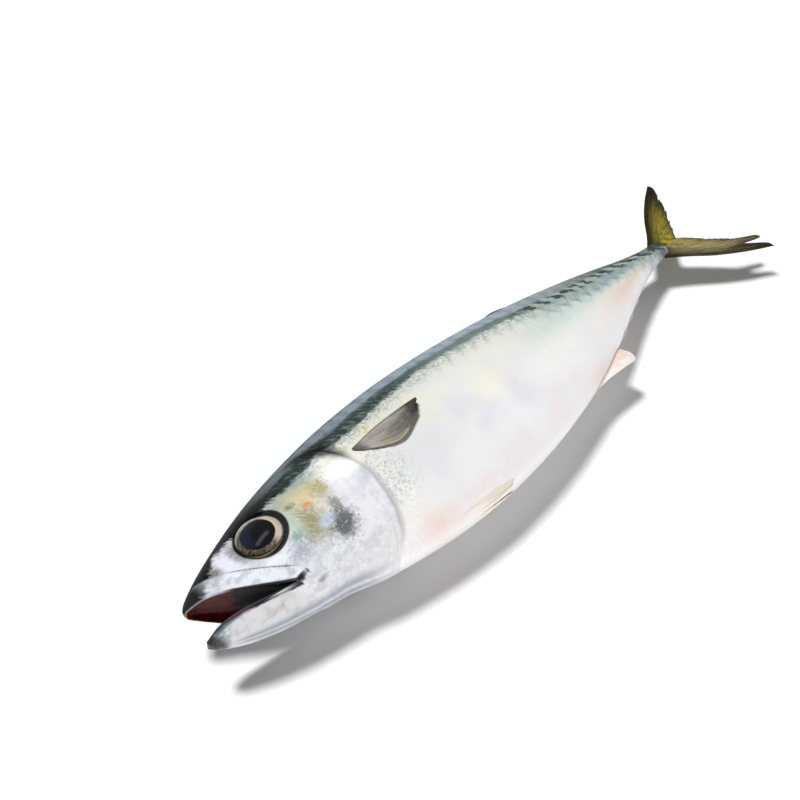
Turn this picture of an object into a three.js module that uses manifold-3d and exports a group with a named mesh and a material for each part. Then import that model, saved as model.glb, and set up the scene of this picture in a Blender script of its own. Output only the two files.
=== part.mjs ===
// A whole mackerel lying on its right side, mouth open, snout toward -X, back toward +Y, left side up.
// Millimetres. The fish is laid out with x = 0 at the snout and x = 300 at the tail fork,
// then moved so that the origin is under the middle of its box.
import * as THREE from 'three';
import Module from 'manifold-3d';

const wasm = await Module();
wasm.setup();

const partGap = 0.3;
const headPlane = 20.8;
const tailPlane = 14.6;
const droopStart = 105;
const droopLength = 195;

// One row per cross section: x, height of the back, depth of the belly, half width, level of the
// widest point.
const sections = [
  [1, 11.0, 4.8, 1.9, 8.2],
  [3, 12.6, 2.0, 3.7, 7.4],
  [7, 14.6, -2.4, 6.7, 6.2],
  [13, 17.2, -8.4, 9.6, 4.4],
  [24, 21.2, -17.4, 12.4, 2.6],
  [36, 25.0, -22.8, 14.5, 1.5],
  [48, 27.9, -25.6, 16.8, 0.9],
  [62, 30.3, -29.6, 19.3, 0.4],
  [78, 32.2, -33.2, 21.6, 0],
  [95, 33.2, -36.0, 22.9, 0],
  [118, 33.2, -37.6, 23.5, 0],
  [145, 31.6, -36.6, 22.6, 0],
  [172, 29.0, -33.0, 20.0, 0],
  [198, 25.6, -27.4, 16.3, 0.4],
  [222, 21.2, -19.4, 12.2, 1.2],
  [244, 16.2, -11.4, 8.4, 2.2],
  [262, 11.2, -5.6, 5.6, 2.7],
  [277, 8.0, -2.2, 4.2, 2.8],
  [286, 7.2, -1.6, 3.0, 2.8],
];
const peduncleEnd = 289;
const snoutTip = [0.2, 9.2];

// The line where the closed jaws meet, x and y, from the snout to the corner of the mouth.
const lipLine = [[1, 8.4], [6, 5.6], [12, 1.0], [18, -4.0], [24, -8.8], [28, -11.8], [31.5, -14]];
const mouthCorner = { x: 31.5, y: -14 };
const jawOpening = THREE.MathUtils.degToRad(25);
const jawFade = 40;
const jawReach = 0.88;
const jawTip = [0.4, 7.0];
const palateRise = 2.4;
const floorDrop = 1.4;
const throatDepth = 5;

// The free rear edge of the gill cover: y and the x it reaches.
const gillEdge = [[-33, 60], [-28, 68.4], [-24, 71.2], [-18, 73.6], [-12, 74.8], [-6, 76.1], [0, 76],
  [6, 75], [12, 73.4], [18, 70.8], [22, 65]];
const gillRelief = 0.8;
const gillReliefLength = 16;

const eye = { x: 34.3, y: 7.8, radius: 10.2, depth: 5.6, proud: 1.5 };

// One lobe of the tail fin, fanned from the end of the tail stalk.
const tail = {
  middle: 2.8,
  root: [[283, 3.4], [290.5, 0.25]],
  edge: [[283, 4.4], [291, 9.6], [303, 18.4], [315, 25.6], [327, 31.4], [320, 24], [311.5, 14.6],
    [304, 6.4], [300, 0.25]],
  thickness: 1.3,
  upperOpen: 1.05,
  lowerOpen: 1.2,
};

const upperSpan = 30;
const lowerSpan = 18;
const mouthRings = 10;
const mouthSpan = 10;
const cornerSplit = Math.acos((mouthCorner.y - 1.9) / 20.7);
const flankSplit = 1.96;

function smooth(a, b, x) {
  const t = THREE.MathUtils.clamp((x - a) / (b - a), 0, 1);
  return t * t * (3 - 2 * t);
}

// A smooth curve through the rows of a table, read at one column.
function curve(table, column, x) {
  const last = table.length - 1;
  let i = 0;
  while (i < last - 1 && x > table[i + 1][0]) i += 1;
  const slope = (k) => {
    const a = table[Math.max(k - 1, 0)];
    const b = table[Math.min(k + 1, last)];
    return (b[column] - a[column]) / (b[0] - a[0]);
  };
  const span = table[i + 1][0] - table[i][0];
  const t = THREE.MathUtils.clamp((x - table[i][0]) / span, 0, 1);
  const h1 = t * t * (3 - 2 * t);
  const lead = (t * t * t - 2 * t * t + t) * span * slope(i);
  const trail = (t * t * t - t * t) * span * slope(i + 1);
  return table[i][column] * (1 - h1) + table[i + 1][column] * h1 + lead + trail;
}

function planeHeight(x) {
  const t = THREE.MathUtils.clamp((x - droopStart) / droopLength, 0, 1);
  return headPlane + (tailPlane - headPlane) * t ** 1.5;
}

function gillStep(x, y) {
  const ahead = curve(gillEdge, 1, THREE.MathUtils.clamp(y, -33, 22)) - x;
  const fade = smooth(26, 19, y) * smooth(-31, -22, y);
  return gillRelief * smooth(0, 1.2, ahead) * smooth(gillReliefLength, 3, ahead) * fade;
}

// The skin at x and the angle round the body: 0 along the back, pi along the belly, z from the mid plane.
function skin(x, angle, grow = 0) {
  const back = curve(sections, 1, x) + grow;
  const belly = curve(sections, 2, x) - grow;
  const half = curve(sections, 3, x) + grow;
  const level = curve(sections, 4, x);
  const c = Math.cos(angle);
  const s = Math.sin(angle);
  const y = level + (c > 0 ? back - level : level - belly) * c;
  const step = gillStep(x, y);
  return [x, y + step * c, (half + step) * s];
}

// How far each point follows the lower jaw: wholly below the lips, fading out behind the mouth corner.
function jawShare(x, y) {
  const turn = Math.atan2(y - mouthCorner.y, x - mouthCorner.x);
  const round = turn < 0 ? -turn / Math.PI * 2 : 0;
  const around = x < mouthCorner.x ? 1 : smooth(0, 1, round);
  return around * smooth(jawFade, mouthCorner.x, x);
}

function openJaw([x, y, z]) {
  const swing = jawOpening * jawShare(x, y);
  const dx = (x - mouthCorner.x) * (x < mouthCorner.x ? jawReach : 1);
  const dy = y - mouthCorner.y;
  const c = Math.cos(swing);
  const s = Math.sin(swing);
  return [mouthCorner.x + dx * c - dy * s, mouthCorner.y + dx * s + dy * c, z];
}

// Lays a point down: raised to the height of the mid plane, and flattened where the flank rests.
function lay([x, y, z], lowest = 0) {
  return [x, y, Math.max(planeHeight(x) + z, lowest)];
}

class Shell {
  constructor() {
    this.points = [];
    this.triangles = [];
    this.index = new Map();
  }

  point(p) {
    const key = p.map((v) => Math.round(v * 1000)).join(',');
    if (!this.index.has(key)) {
      this.index.set(key, this.points.length / 3);
      this.points.push(...p);
    }
    return this.index.get(key);
  }

  triangle(a, b, c) {
    const t = [this.point(a), this.point(b), this.point(c)];
    if (t[0] !== t[1] && t[1] !== t[2] && t[0] !== t[2]) this.triangles.push(...t);
  }

  grid(rows, flip) {
    for (let i = 0; i + 1 < rows.length; i += 1) {
      for (let j = 0; j + 1 < rows[i].length; j += 1) {
        const [a, b, c, d] = [rows[i][j], rows[i + 1][j], rows[i + 1][j + 1], rows[i][j + 1]];
        this.triangle(a, flip ? c : b, flip ? b : c);
        this.triangle(a, flip ? d : c, flip ? c : d);
      }
    }
  }

  fan(tip, row, flip) {
    for (let j = 0; j + 1 < row.length; j += 1) {
      this.triangle(tip, row[flip ? j + 1 : j], row[flip ? j : j + 1]);
    }
  }

  solid() {
    const numbers = { numProp: 3, vertProperties: new Float32Array(this.points) };
    return new wasm.Manifold(new wasm.Mesh({ ...numbers, triVerts: new Uint32Array(this.triangles) }));
  }
}

function lipAngle(x) {
  if (x > mouthCorner.x) return flankSplit + (cornerSplit - flankSplit) * smooth(90, mouthCorner.x, x);
  const level = curve(sections, 4, x);
  const y = curve(lipLine, 1, x);
  const reach = y > level ? curve(sections, 1, x) - level : level - curve(sections, 2, x);
  return Math.acos(THREE.MathUtils.clamp((y - level) / reach, -0.98, 0.98));
}

function arc(x, from, to, count, grow = 0) {
  return Array.from({ length: count + 1 }, (_, j) => skin(x, from + (to - from) * j / count, grow));
}

function upperArc(x) {
  const lip = lipAngle(x);
  return arc(x, -lip, lip, upperSpan);
}

function lowerArc(x) {
  const lip = lipAngle(x);
  return arc(x, lip, 2 * Math.PI - lip, lowerSpan);
}

// A row across the inside of the mouth, from the left lip to the right one.
function mouthRow(left, right, lift, inward) {
  return Array.from({ length: mouthSpan + 1 }, (_, k) => {
    const s = k / mouthSpan;
    const bow = Math.sin(Math.PI * s);
    return [left[0] + inward * bow, left[1] + lift * bow, left[2] + (right[2] - left[2]) * s];
  });
}

function trunkStations() {
  const stations = [];
  for (let x = mouthCorner.x; x < 82; x += 2.3) stations.push(x);
  for (let x = 84; x < 262; x += 5.6) stations.push(x);
  stations.push(264, 270, 276, 281, 284.5, 286);
  return stations;
}

function mouthStations() {
  const reach = mouthCorner.x - 1;
  return Array.from({ length: mouthRings + 1 }, (_, i) => 1 + reach * (i / mouthRings) ** 1.25);
}

// The two jaws with the hollow between them, in front of the mouth corner.
function addJaws(shell) {
  const stations = mouthStations();
  const upper = stations.map((x) => upperArc(x).map((p) => lay(p)));
  const lower = stations.map((x) => lowerArc(x).map((p) => lay(openJaw(p))));
  const inner = (i) => smooth(0, 1, i / mouthRings);
  const roof = upper.map((row, i) => {
    const lift = palateRise * Math.sin(Math.PI * i / mouthRings);
    return mouthRow(row[upperSpan], row[0], lift, throatDepth * inner(i) ** 3);
  });
  const floor = lower.map((row, i) => {
    const drop = -floorDrop * Math.sin(Math.PI * i / mouthRings);
    return mouthRow(row[0], row[lowerSpan], drop, throatDepth * inner(i) ** 3);
  });
  shell.grid(upper, true);
  shell.grid(lower, true);
  shell.grid(roof, true);
  shell.grid(floor, false);
  const snout = lay([...snoutTip, 0]);
  const chin = lay(openJaw([...jawTip, 0]));
  shell.fan(snout, upper[0], true);
  shell.fan(snout, roof[0], true);
  shell.fan(chin, lower[0], true);
  shell.fan(chin, floor[0], false);
}

function bodySolid() {
  const shell = new Shell();
  addJaws(shell);
  const rings = trunkStations().map((x) => {
    const ring = [...upperArc(x), ...lowerArc(x).slice(1)];
    return ring.map((p) => lay(openJaw(p)));
  });
  shell.grid(rings, true);
  shell.fan(lay([peduncleEnd, tail.middle, 0]), rings[rings.length - 1], false);
  return shell.solid();
}

// The trunk alone, a little fatter than it is: what the fins are cut back to.
function clearanceSolid() {
  const shell = new Shell();
  const stations = trunkStations().filter((x) => x > 84);
  const around = upperSpan + lowerSpan;
  const rings = stations.map((x) => arc(x, 0, 2 * Math.PI, around, partGap).map((p) => lay(p)));
  const level = (x) => lay([x, curve(sections, 4, x), 0]);
  shell.grid(rings, true);
  shell.fan(level(stations[0]), rings[0], true);
  shell.fan(lay([peduncleEnd + partGap, tail.middle, 0]), rings[rings.length - 1], false);
  return shell.solid();
}

// A point standing off the laid-down skin, on the left side (side 1) or the right side (side -1).
function offSkin(x, angle, lift, side) {
  const step = 0.01;
  const at = new THREE.Vector3(...skin(x, angle));
  const along = new THREE.Vector3(...skin(x + step, angle)).sub(at);
  const round = new THREE.Vector3(...skin(x, angle + step)).sub(at);
  const normal = round.cross(along).normalize();
  at.addScaledVector(normal, lift);
  return [at.x, at.y, side * at.z];
}

// A thin closed blade: a grid of points, front face and back face, joined round the edge.
function blade(rowsA, rowsB) {
  const shell = new Shell();
  const last = rowsA.length - 1;
  const end = rowsA[0].length - 1;
  shell.grid(rowsA, false);
  shell.grid(rowsB, true);
  shell.grid([rowsB[0], rowsA[0]], false);
  shell.grid([rowsA[last], rowsB[last]], false);
  shell.grid([rowsA.map((r) => r[end]), rowsB.map((r) => r[end])], true);
  shell.grid([rowsB.map((r) => r[0]), rowsA.map((r) => r[0])], true);
  return shell.solid();
}

// A paired fin folded back on the flank. Edges run from the root to the tip as x and angle.
const pectoral = {
  lead: [[0, 79, 1.4], [0.35, 89, 1.39], [0.7, 101, 1.42], [1, 112, 1.47]],
  trail: [[0, 81.5, 1.5], [0.35, 87, 1.64], [0.7, 95, 1.72], [1, 107.5, 1.6]],
  middle: [95, 1.53],
  lift: [0.35, 2.2],
  thickness: 0.9,
};
const pelvic = {
  lead: [[0, 93, 2.86], [0.4, 102, 2.82], [0.75, 112, 2.86], [1, 122, 2.95]],
  trail: [[0, 95, 3.04], [0.4, 102, 3.085], [0.75, 110, 3.095], [1, 120, 3.05]],
  middle: [107, 2.97],
  lift: [0.35, 2.6],
  thickness: 0.9,
};
const hollowSpread = 1.12;
const foldedRows = 9;
const foldedColumns = 6;

// Both faces of a folded fin at one point; under the fish the pair is raised until it rests on the table.
function foldedPair(x, angle, lift, thickness, side, margin) {
  const at = (height) => lay(offSkin(x, angle, height, side), -50);
  const raise = Math.max(0, -at(lift + thickness)[2]);
  return [at(lift + thickness + margin), at(lift - margin)].map(([a, b, c]) => [a, b, c + raise]);
}

// A margin and a spread above 1 give the hollow that the fin is pressed into.
function foldedFin(fin, side, margin = 0, spread = 1) {
  const faces = [[], []];
  const [middleX, middleAngle] = fin.middle;
  for (let i = 0; i <= foldedRows; i += 1) {
    const u = i / foldedRows;
    const lift = fin.lift[0] + (side > 0 ? (fin.lift[1] - fin.lift[0]) * u ** 1.6 : 0);
    const rows = [[], []];
    for (let j = 0; j <= foldedColumns; j += 1) {
      const v = j / foldedColumns;
      const at = (column) => curve(fin.lead, column, u) * (1 - v) + curve(fin.trail, column, u) * v;
      const x = middleX + (at(1) - middleX) * spread;
      const angle = middleAngle + (at(2) - middleAngle) * spread;
      foldedPair(x, angle, lift, fin.thickness, side, margin).forEach((point, k) => rows[k].push(point));
    }
    faces.forEach((face, k) => face.push(rows[k]));
  }
  return faces;
}

// Fins on the mid line: root span along the body, and the free edge as x and height above the skin.
const rootDepth = 1.6;
const medianThickness = 1;
const medianRows = 14;
const firstDorsal = {
  side: 1,
  root: [98, 140],
  edge: [[98, 0.4], [104, 3.2], [118, 2.7], [134, 1.7], [146, 0.7]],
};
const secondDorsal = {
  side: 1,
  root: [183, 209],
  edge: [[183, 0.4], [190, 4], [197, 4.4], [205, 2.6], [213, 1]],
};
const anal = {
  side: -1,
  root: [186, 212],
  edge: [[186, 0.4], [196, 2.6], [206, 6.2], [213, 8.8], [214.6, 6], [213.6, 1.4]],
};
const finletEdge = [[0, 0.3], [2.5, 2.2], [5.6, 3.3], [7.6, 3], [6.4, 1.3], [4.8, 0.4]];
const finletRoot = 4.6;
const finletCount = 5;
const dorsalFinlets = { side: 1, start: 216, pitch: 11.4 };
const analFinlets = { side: -1, start: 219, pitch: 11 };

function edgePoint(edge, u) {
  const table = edge.map((p, i) => [i / (edge.length - 1), ...p]);
  return [curve(table, 1, u), curve(table, 2, u)];
}

function skinLevel(x, side) {
  return curve(sections, side > 0 ? 1 : 2, x);
}

function medianFin(fin) {
  const columns = 3;
  const face = (z) => Array.from({ length: medianRows + 1 }, (_, i) => {
    const u = i / medianRows;
    const rootX = fin.root[0] + (fin.root[1] - fin.root[0]) * u;
    const rootY = skinLevel(rootX, fin.side) - fin.side * rootDepth;
    const [edgeX, height] = edgePoint(fin.edge, u);
    const edgeY = skinLevel(edgeX, fin.side) + fin.side * height;
    return Array.from({ length: columns + 1 }, (__, j) => {
      const v = j / columns;
      const x = rootX + (edgeX - rootX) * v;
      return lay([x, rootY + (edgeY - rootY) * v, z * (1 - 0.5 * v)]);
    });
  });
  return [face(medianThickness / 2), face(-medianThickness / 2)];
}

function tailLobe(side) {
  const rows = 24;
  const columns = 5;
  const face = (z) => Array.from({ length: rows + 1 }, (_, i) => {
    const u = i / rows;
    const rootX = tail.root[0][0] + (tail.root[1][0] - tail.root[0][0]) * u;
    const rootY = tail.root[0][1] + (tail.root[1][1] - tail.root[0][1]) * u;
    const [edgeX, edgeY] = edgePoint(tail.edge, u);
    return Array.from({ length: columns + 1 }, (__, j) => {
      const v = j / columns;
      const y = rootY + (edgeY - rootY) * v;
      const open = side > 0 ? tail.upperOpen : tail.lowerOpen;
      return lay([rootX + (edgeX - rootX) * v, tail.middle + side * y * open, z * (1 - 0.45 * v)]);
    });
  });
  return [face(tail.thickness / 2), face(-tail.thickness / 2)];
}

// Builds a blade whichever way round its faces come, so that the solid is never inside out.
function fin(faces) {
  const solid = blade(faces[0], faces[1]);
  return solid.volume() > 0 ? solid : blade(faces[1], faces[0]);
}

function eyeSolid(side, extra = 0) {
  const ball = new THREE.SphereGeometry(1, 32, 20);
  const angle = Math.acos((eye.y - 1.7) / 22.4);
  const seat = new THREE.Vector3(...offSkin(eye.x, angle, eye.proud - eye.depth, 1));
  const out = new THREE.Vector3(...offSkin(eye.x, angle, 0, 1)).sub(seat).normalize();
  const turn = new THREE.Quaternion().setFromUnitVectors(new THREE.Vector3(0, 1, 0), out);
  ball.scale(eye.radius + extra, eye.depth + extra, eye.radius + extra);
  ball.applyQuaternion(turn);
  ball.translate(seat.x, seat.y, seat.z);
  const shell = new Shell();
  const p = ball.attributes.position;
  const at = (k) => lay([p.getX(k), p.getY(k), side * p.getZ(k)]);
  const order = ball.index.array;
  for (let i = 0; i < order.length; i += 3) {
    const [a, b, c] = [at(order[i]), at(order[i + 1]), at(order[i + 2])];
    shell.triangle(a, side > 0 ? b : c, side > 0 ? c : b);
  }
  return shell.solid();
}

const looks = {
  skin: new THREE.Color(0xc9ced2),
  fin: new THREE.Color(0x8a8578),
  tail: new THREE.Color(0x8c8340),
  eye: new THREE.Color(0x15181c),
};

function named(name, solid, color) {
  const made = solid.getMesh();
  const geometry = new THREE.BufferGeometry();
  geometry.setAttribute('position', new THREE.BufferAttribute(new Float32Array(made.vertProperties), 3));
  geometry.setIndex(new THREE.BufferAttribute(new Uint32Array(made.triVerts), 1));
  geometry.computeVertexNormals();
  const mesh = new THREE.Mesh(geometry, new THREE.MeshStandardMaterial({ color, roughness: 0.45 }));
  mesh.name = name;
  return mesh;
}

const clearance = clearanceSolid();
const pieces = [];

function addFin(name, faces, color = looks.fin) {
  pieces.push(named(name, fin(faces).subtract(clearance), color));
}

const pressedFin = fin(foldedFin(pectoral, -1, partGap, hollowSpread));
const body = bodySolid()
  .subtract(eyeSolid(1, partGap))
  .subtract(eyeSolid(-1, partGap))
  .subtract(pressedFin);
pieces.push(named('body', body, looks.skin));
pieces.push(named('left_eye', eyeSolid(1), looks.eye));
pieces.push(named('right_eye', eyeSolid(-1), looks.eye));
for (const [label, side] of [['left', 1], ['right', -1]]) {
  pieces.push(named(`${label}_pectoral_fin`, fin(foldedFin(pectoral, side)), looks.fin));
  pieces.push(named(`${label}_pelvic_fin`, fin(foldedFin(pelvic, side)), looks.fin));
}
addFin('first_dorsal_fin', medianFin(firstDorsal));
addFin('second_dorsal_fin', medianFin(secondDorsal));
addFin('anal_fin', medianFin(anal));
for (const [label, row] of [['dorsal', dorsalFinlets], ['anal', analFinlets]]) {
  for (let k = 0; k < finletCount; k += 1) {
    const start = row.start + k * row.pitch;
    const edge = finletEdge.map(([x, h]) => [start + x, h * (1 - 0.08 * k)]);
    const finlet = { side: row.side, root: [start, start + finletRoot], edge };
    addFin(`${label}_finlet_${k + 1}`, medianFin(finlet));
  }
}
addFin('caudal_fin_upper_lobe', tailLobe(1), looks.tail);
addFin('caudal_fin_lower_lobe', tailLobe(-1), looks.tail);

const mackerel = new THREE.Group();
mackerel.name = 'mackerel';
mackerel.add(...pieces);
const box = new THREE.Box3().setFromObject(mackerel);
const middle = box.getCenter(new THREE.Vector3());
for (const piece of pieces) piece.geometry.translate(-middle.x, -middle.y, -box.min.z);

export default mackerel;
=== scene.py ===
import math

import bmesh
import bpy
import numpy as np
from mathutils import Matrix, Vector


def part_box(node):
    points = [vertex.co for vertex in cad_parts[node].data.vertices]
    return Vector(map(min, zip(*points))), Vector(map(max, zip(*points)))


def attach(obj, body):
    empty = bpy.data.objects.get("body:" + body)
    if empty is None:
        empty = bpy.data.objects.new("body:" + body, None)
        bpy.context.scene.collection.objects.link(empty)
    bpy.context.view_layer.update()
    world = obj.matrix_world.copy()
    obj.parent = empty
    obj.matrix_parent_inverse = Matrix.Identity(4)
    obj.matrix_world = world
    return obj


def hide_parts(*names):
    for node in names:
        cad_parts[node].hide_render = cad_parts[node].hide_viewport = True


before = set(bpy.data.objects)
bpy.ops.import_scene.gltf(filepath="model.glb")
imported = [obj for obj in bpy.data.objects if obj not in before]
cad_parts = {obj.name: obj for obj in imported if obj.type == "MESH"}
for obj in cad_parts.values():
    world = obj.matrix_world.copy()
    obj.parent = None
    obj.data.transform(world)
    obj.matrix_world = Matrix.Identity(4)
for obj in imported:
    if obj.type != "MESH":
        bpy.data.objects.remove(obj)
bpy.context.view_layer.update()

mm = 0.001


def addObject(name, data):
    made = bpy.data.objects.new(name, data)
    bpy.context.scene.collection.objects.link(made)
    return made


def smooth(low, high, value):
    t = np.clip((np.asarray(value, float) - low) / (high - low), 0, 1)
    return t * t * (3 - 2 * t)


def bump(value, width):
    return np.exp(-(np.asarray(value, float) / width) ** 2)


def curve(table, column, x):  # a smooth line through the rows of a table
    rows = np.asarray(table, float)
    x = np.asarray(x, float)
    last = len(rows) - 1
    i = np.clip(np.searchsorted(rows[:, 0], x, side="left") - 1, 0, last - 1)
    k = np.arange(last + 1)
    before, after = np.maximum(k - 1, 0), np.minimum(k + 1, last)
    slope = (rows[after, column] - rows[before, column]) / (rows[after, 0] - rows[before, 0])
    span = rows[i + 1, 0] - rows[i, 0]
    t = np.clip((x - rows[i, 0]) / span, 0, 1)
    ease = t * t * (3 - 2 * t)
    lead = (t ** 3 - 2 * t * t + t) * span * slope[i]
    trail = (t ** 3 - t * t) * span * slope[i + 1]
    return rows[i, column] * (1 - ease) + rows[i + 1, column] * ease + lead + trail


def linear(hexColour):  # "rrggbb" as seen on a screen, to the numbers a shader takes
    parts = [int(hexColour[i:i + 2], 16) / 255 for i in (0, 2, 4)]
    return [c / 12.92 if c <= 0.04045 else ((c + 0.055) / 1.055) ** 2.4 for c in parts]


# x runs from the snout to the tail, y from belly to back, z up from the fish's own mid plane

fish = {
    "sections": [  # x, back, belly, half width, level of the widest point
        [1, 11.0, 4.8, 1.9, 8.2], [3, 12.6, 2.0, 3.7, 7.4], [7, 14.6, -2.4, 6.7, 6.2],
        [13, 17.2, -8.4, 9.6, 4.4], [24, 21.2, -17.4, 12.4, 2.6], [36, 25.0, -22.8, 14.5, 1.5],
        [48, 27.9, -25.6, 16.8, 0.9], [62, 30.3, -29.6, 19.3, 0.4], [78, 32.2, -33.2, 21.6, 0],
        [95, 33.2, -36.0, 22.9, 0], [118, 33.2, -37.6, 23.5, 0], [145, 31.6, -36.6, 22.6, 0],
        [172, 29.0, -33.0, 20.0, 0], [198, 25.6, -27.4, 16.3, 0.4], [222, 21.2, -19.4, 12.2, 1.2],
        [244, 16.2, -11.4, 8.4, 2.2], [262, 11.2, -5.6, 5.6, 2.7], [277, 8.0, -2.2, 4.2, 2.8],
        [286, 7.2, -1.6, 3.0, 2.8]],
    "trunkEnd": 286, "stalkEnd": 289, "stalkLevel": 2.8,
    "snout": [0.2, 9.2],
    "headPlane": 20.8, "tailPlane": 14.6, "droopStart": 105, "droopLength": 195,
}
mouth = {
    "lips": [[1, 8.4], [6, 5.6], [12, 1.0], [18, -4.0], [24, -8.8], [28, -11.8], [31.5, -14]],
    "corner": (31.5, -14.0),
    "opening": math.radians(25), "fade": 58, "sag": 1.7, "reach": 0.88, "jawTip": [0.4, 7.0],
    "roof": 4.6, "floor": 3.0, "throat": 5.0,
}
gill = {
    "edge": [[-33, 60], [-28, 68.4], [-24, 71.2], [-18, 73.6], [-12, 74.8], [-6, 76.1], [0, 76], [6, 75],
             [12, 73.4], [18, 70.8], [22, 65]],
    "step": 0.8, "stepLength": 16,
}
eye = {"x": 34.3, "y": 7.8, "radius": 10.2, "depth": 5.6, "proud": 1.5}


def planeHeight(x):  # how high the fish's mid plane is above the floor
    droop = np.clip((np.asarray(x, float) - fish["droopStart"]) / fish["droopLength"], 0, 1) ** 1.5
    return fish["headPlane"] + (fish["tailPlane"] - fish["headPlane"]) * droop


def plainSkin(x, angle, grow=0.0):  # the skin before any relief: angle 0 is the back, pi the belly
    back, belly, half, level = [curve(fish["sections"], c, x) for c in (1, 2, 3, 4)]
    c, s = np.cos(angle), np.sin(angle)
    y = level + np.where(c > 0, back + grow - level, level - belly + grow) * c
    return y, (half + grow) * s


def gillAhead(x, y):  # how far a point is in front of the gill cover's free edge
    return curve(gill["edge"], 1, np.clip(y, -33, 22)) - x


def openJaw(x, y, lower):
    cx, cy = mouth["corner"]
    turn = np.arctan2(y - cy, x - cx)
    behind = smooth(0, 1, np.where(turn < 0, -turn / math.pi * 2, 0))
    share = np.where(x < cx, lower, behind) * smooth(mouth["fade"], cx, x)
    swing = mouth["opening"] * share
    dx = (x - cx) * np.where((x < cx) & (lower > 0), mouth["reach"], 1)
    dy = y - cy
    throat = mouth["sag"] * bump(x - 35, 8) * smooth(cy - 1, cy - 7, y)  # keeps the throat's line straight
    return cx + dx * np.cos(swing) - dy * np.sin(swing), cy + dx * np.sin(swing) + dy * np.cos(swing) - throat


def lipLine(x):  # the line where the closed lips meet
    return curve(mouth["lips"], 1, np.clip(x, 1, mouth["corner"][0]))


def lipAngle(x):
    cx, cy = mouth["corner"]
    corner = math.acos((cy - 1.9) / 20.7)
    behind = 1.96 + (corner - 1.96) * smooth(90, cx, x)
    level = curve(fish["sections"], 4, x)
    y = lipLine(x)
    reach = np.where(y > level, curve(fish["sections"], 1, x) - level, level - curve(fish["sections"], 2, x))
    return np.where(x > cx, behind, np.arccos(np.clip((y - level) / reach, -0.98, 0.98)))


def offSkin(x, angle, lift, side=1):  # a point standing off the plain skin, and the way it stands
    def at(px, pa):
        y, z = plainSkin(px, pa)
        return np.stack([np.broadcast_to(px, y.shape).astype(float), y, z], -1)
    x, angle = np.broadcast_arrays(np.asarray(x, float), np.asarray(angle, float))
    here = at(x, angle)
    normal = np.cross(at(x, angle + 0.01) - here, at(x + 0.01, angle) - here)
    normal /= np.linalg.norm(normal, axis=-1, keepdims=True)
    point = here + normal * np.asarray(lift, float)[..., None]
    flip = np.array([1, 1, side])
    return point * flip, normal * flip


eyeSeat, eyeNormal = offSkin(eye["x"], math.acos((eye["y"] - 1.7) / 22.4), 0.0)


def eyeGap(x, y, z):  # distance from the line through the middle of the eye, on either side
    d = np.stack([x, y, np.abs(z)], -1) - eyeSeat
    along = d @ eyeNormal
    flat = d - along[..., None] * eyeNormal
    return np.linalg.norm(flat, axis=-1) + np.where(along < -14, 99, 0)


relief = {
    "maxillaLift": 0.55, "maxillaEnd": 36.5,
    "eyeRim": 0.08, "ringDip": 1.15, "socket": 6.0,
    "nostrils": [[12.6, 10.6, 0.55], [15.6, 11.6, 0.75]],
    "keels": 0.7,
}


def maxillaTop(x):  # the upper border of the long cheek plate above the mouth
    return 2.4 - 0.92 * (np.asarray(x, float) - 20)


def reliefHeight(x, y, z, angle):
    ahead = gillAhead(x, y)
    sides = smooth(26, 19, y) * smooth(-31, -22, y)
    height = gill["step"] * smooth(-0.2, 0.45, ahead) * smooth(gill["stepLength"], 3, ahead) * sides
    height -= 0.35 * bump(ahead + 0.9, 0.8) * sides
    cheekBone = bump(ahead - 9 - 0.12 * y, 0.8) * smooth(18, 6, y) * smooth(-30, -20, y)
    height -= 0.08 * cheekBone
    below, end = maxillaTop(x) - y, relief["maxillaEnd"]
    plate = smooth(-0.35, 0.5, below) * smooth(end, end - 0.9, x + 0.12 * below)
    plate *= smooth(6, 16, x) * smooth(-0.1, 0.4, y - lipLine(x))
    height += relief["maxillaLift"] * plate
    gap = eyeGap(x, y, z)
    height += relief["eyeRim"] * bump(gap - 12.0, 1.3)
    height -= relief["ringDip"] * smooth(11.0, 8.7, gap)
    height -= relief["socket"] * smooth(8.9, 7.6, gap)
    for nx, ny, size in relief["nostrils"]:
        away = np.hypot(x - nx, (y - ny) * 0.8)
        height += 0.08 * bump(away - size * 1.9, 0.5) - 0.8 * bump(away, size)
    stalk = smooth(262, 276, x) * smooth(289, 284, x)
    keels = bump(y - 5.4, 0.7) + bump(y - 0.6, 0.7)
    height += relief["keels"] * stalk * keels * (np.abs(np.sin(angle)) > 0.2)
    return height


def skin(x, angle):  # the finished skin round the mid plane
    y, z = plainSkin(x, angle)
    h = reliefHeight(x, y, z, angle)
    return y + h * np.cos(angle), z + h * np.sin(angle)


# the shallow hollow where the lower fin sits in the flank
pressed = {"x": 95, "angle": 1.53, "length": 21, "reach": 0.24, "depth": 1.15}


def layDown(x, y, z, xClosed=None, angle=None):
    height = planeHeight(x) + z
    low = 0.0
    if angle is not None:
        along = (xClosed - pressed["x"]) / pressed["length"]
        away = np.hypot(along, (np.abs(angle) - pressed["angle"]) / pressed["reach"])
        low = np.where(z < 0, pressed["depth"] * smooth(1.25, 1.0, away), 0)
    return np.stack([x, y, np.maximum(height, low)], -1)


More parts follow.
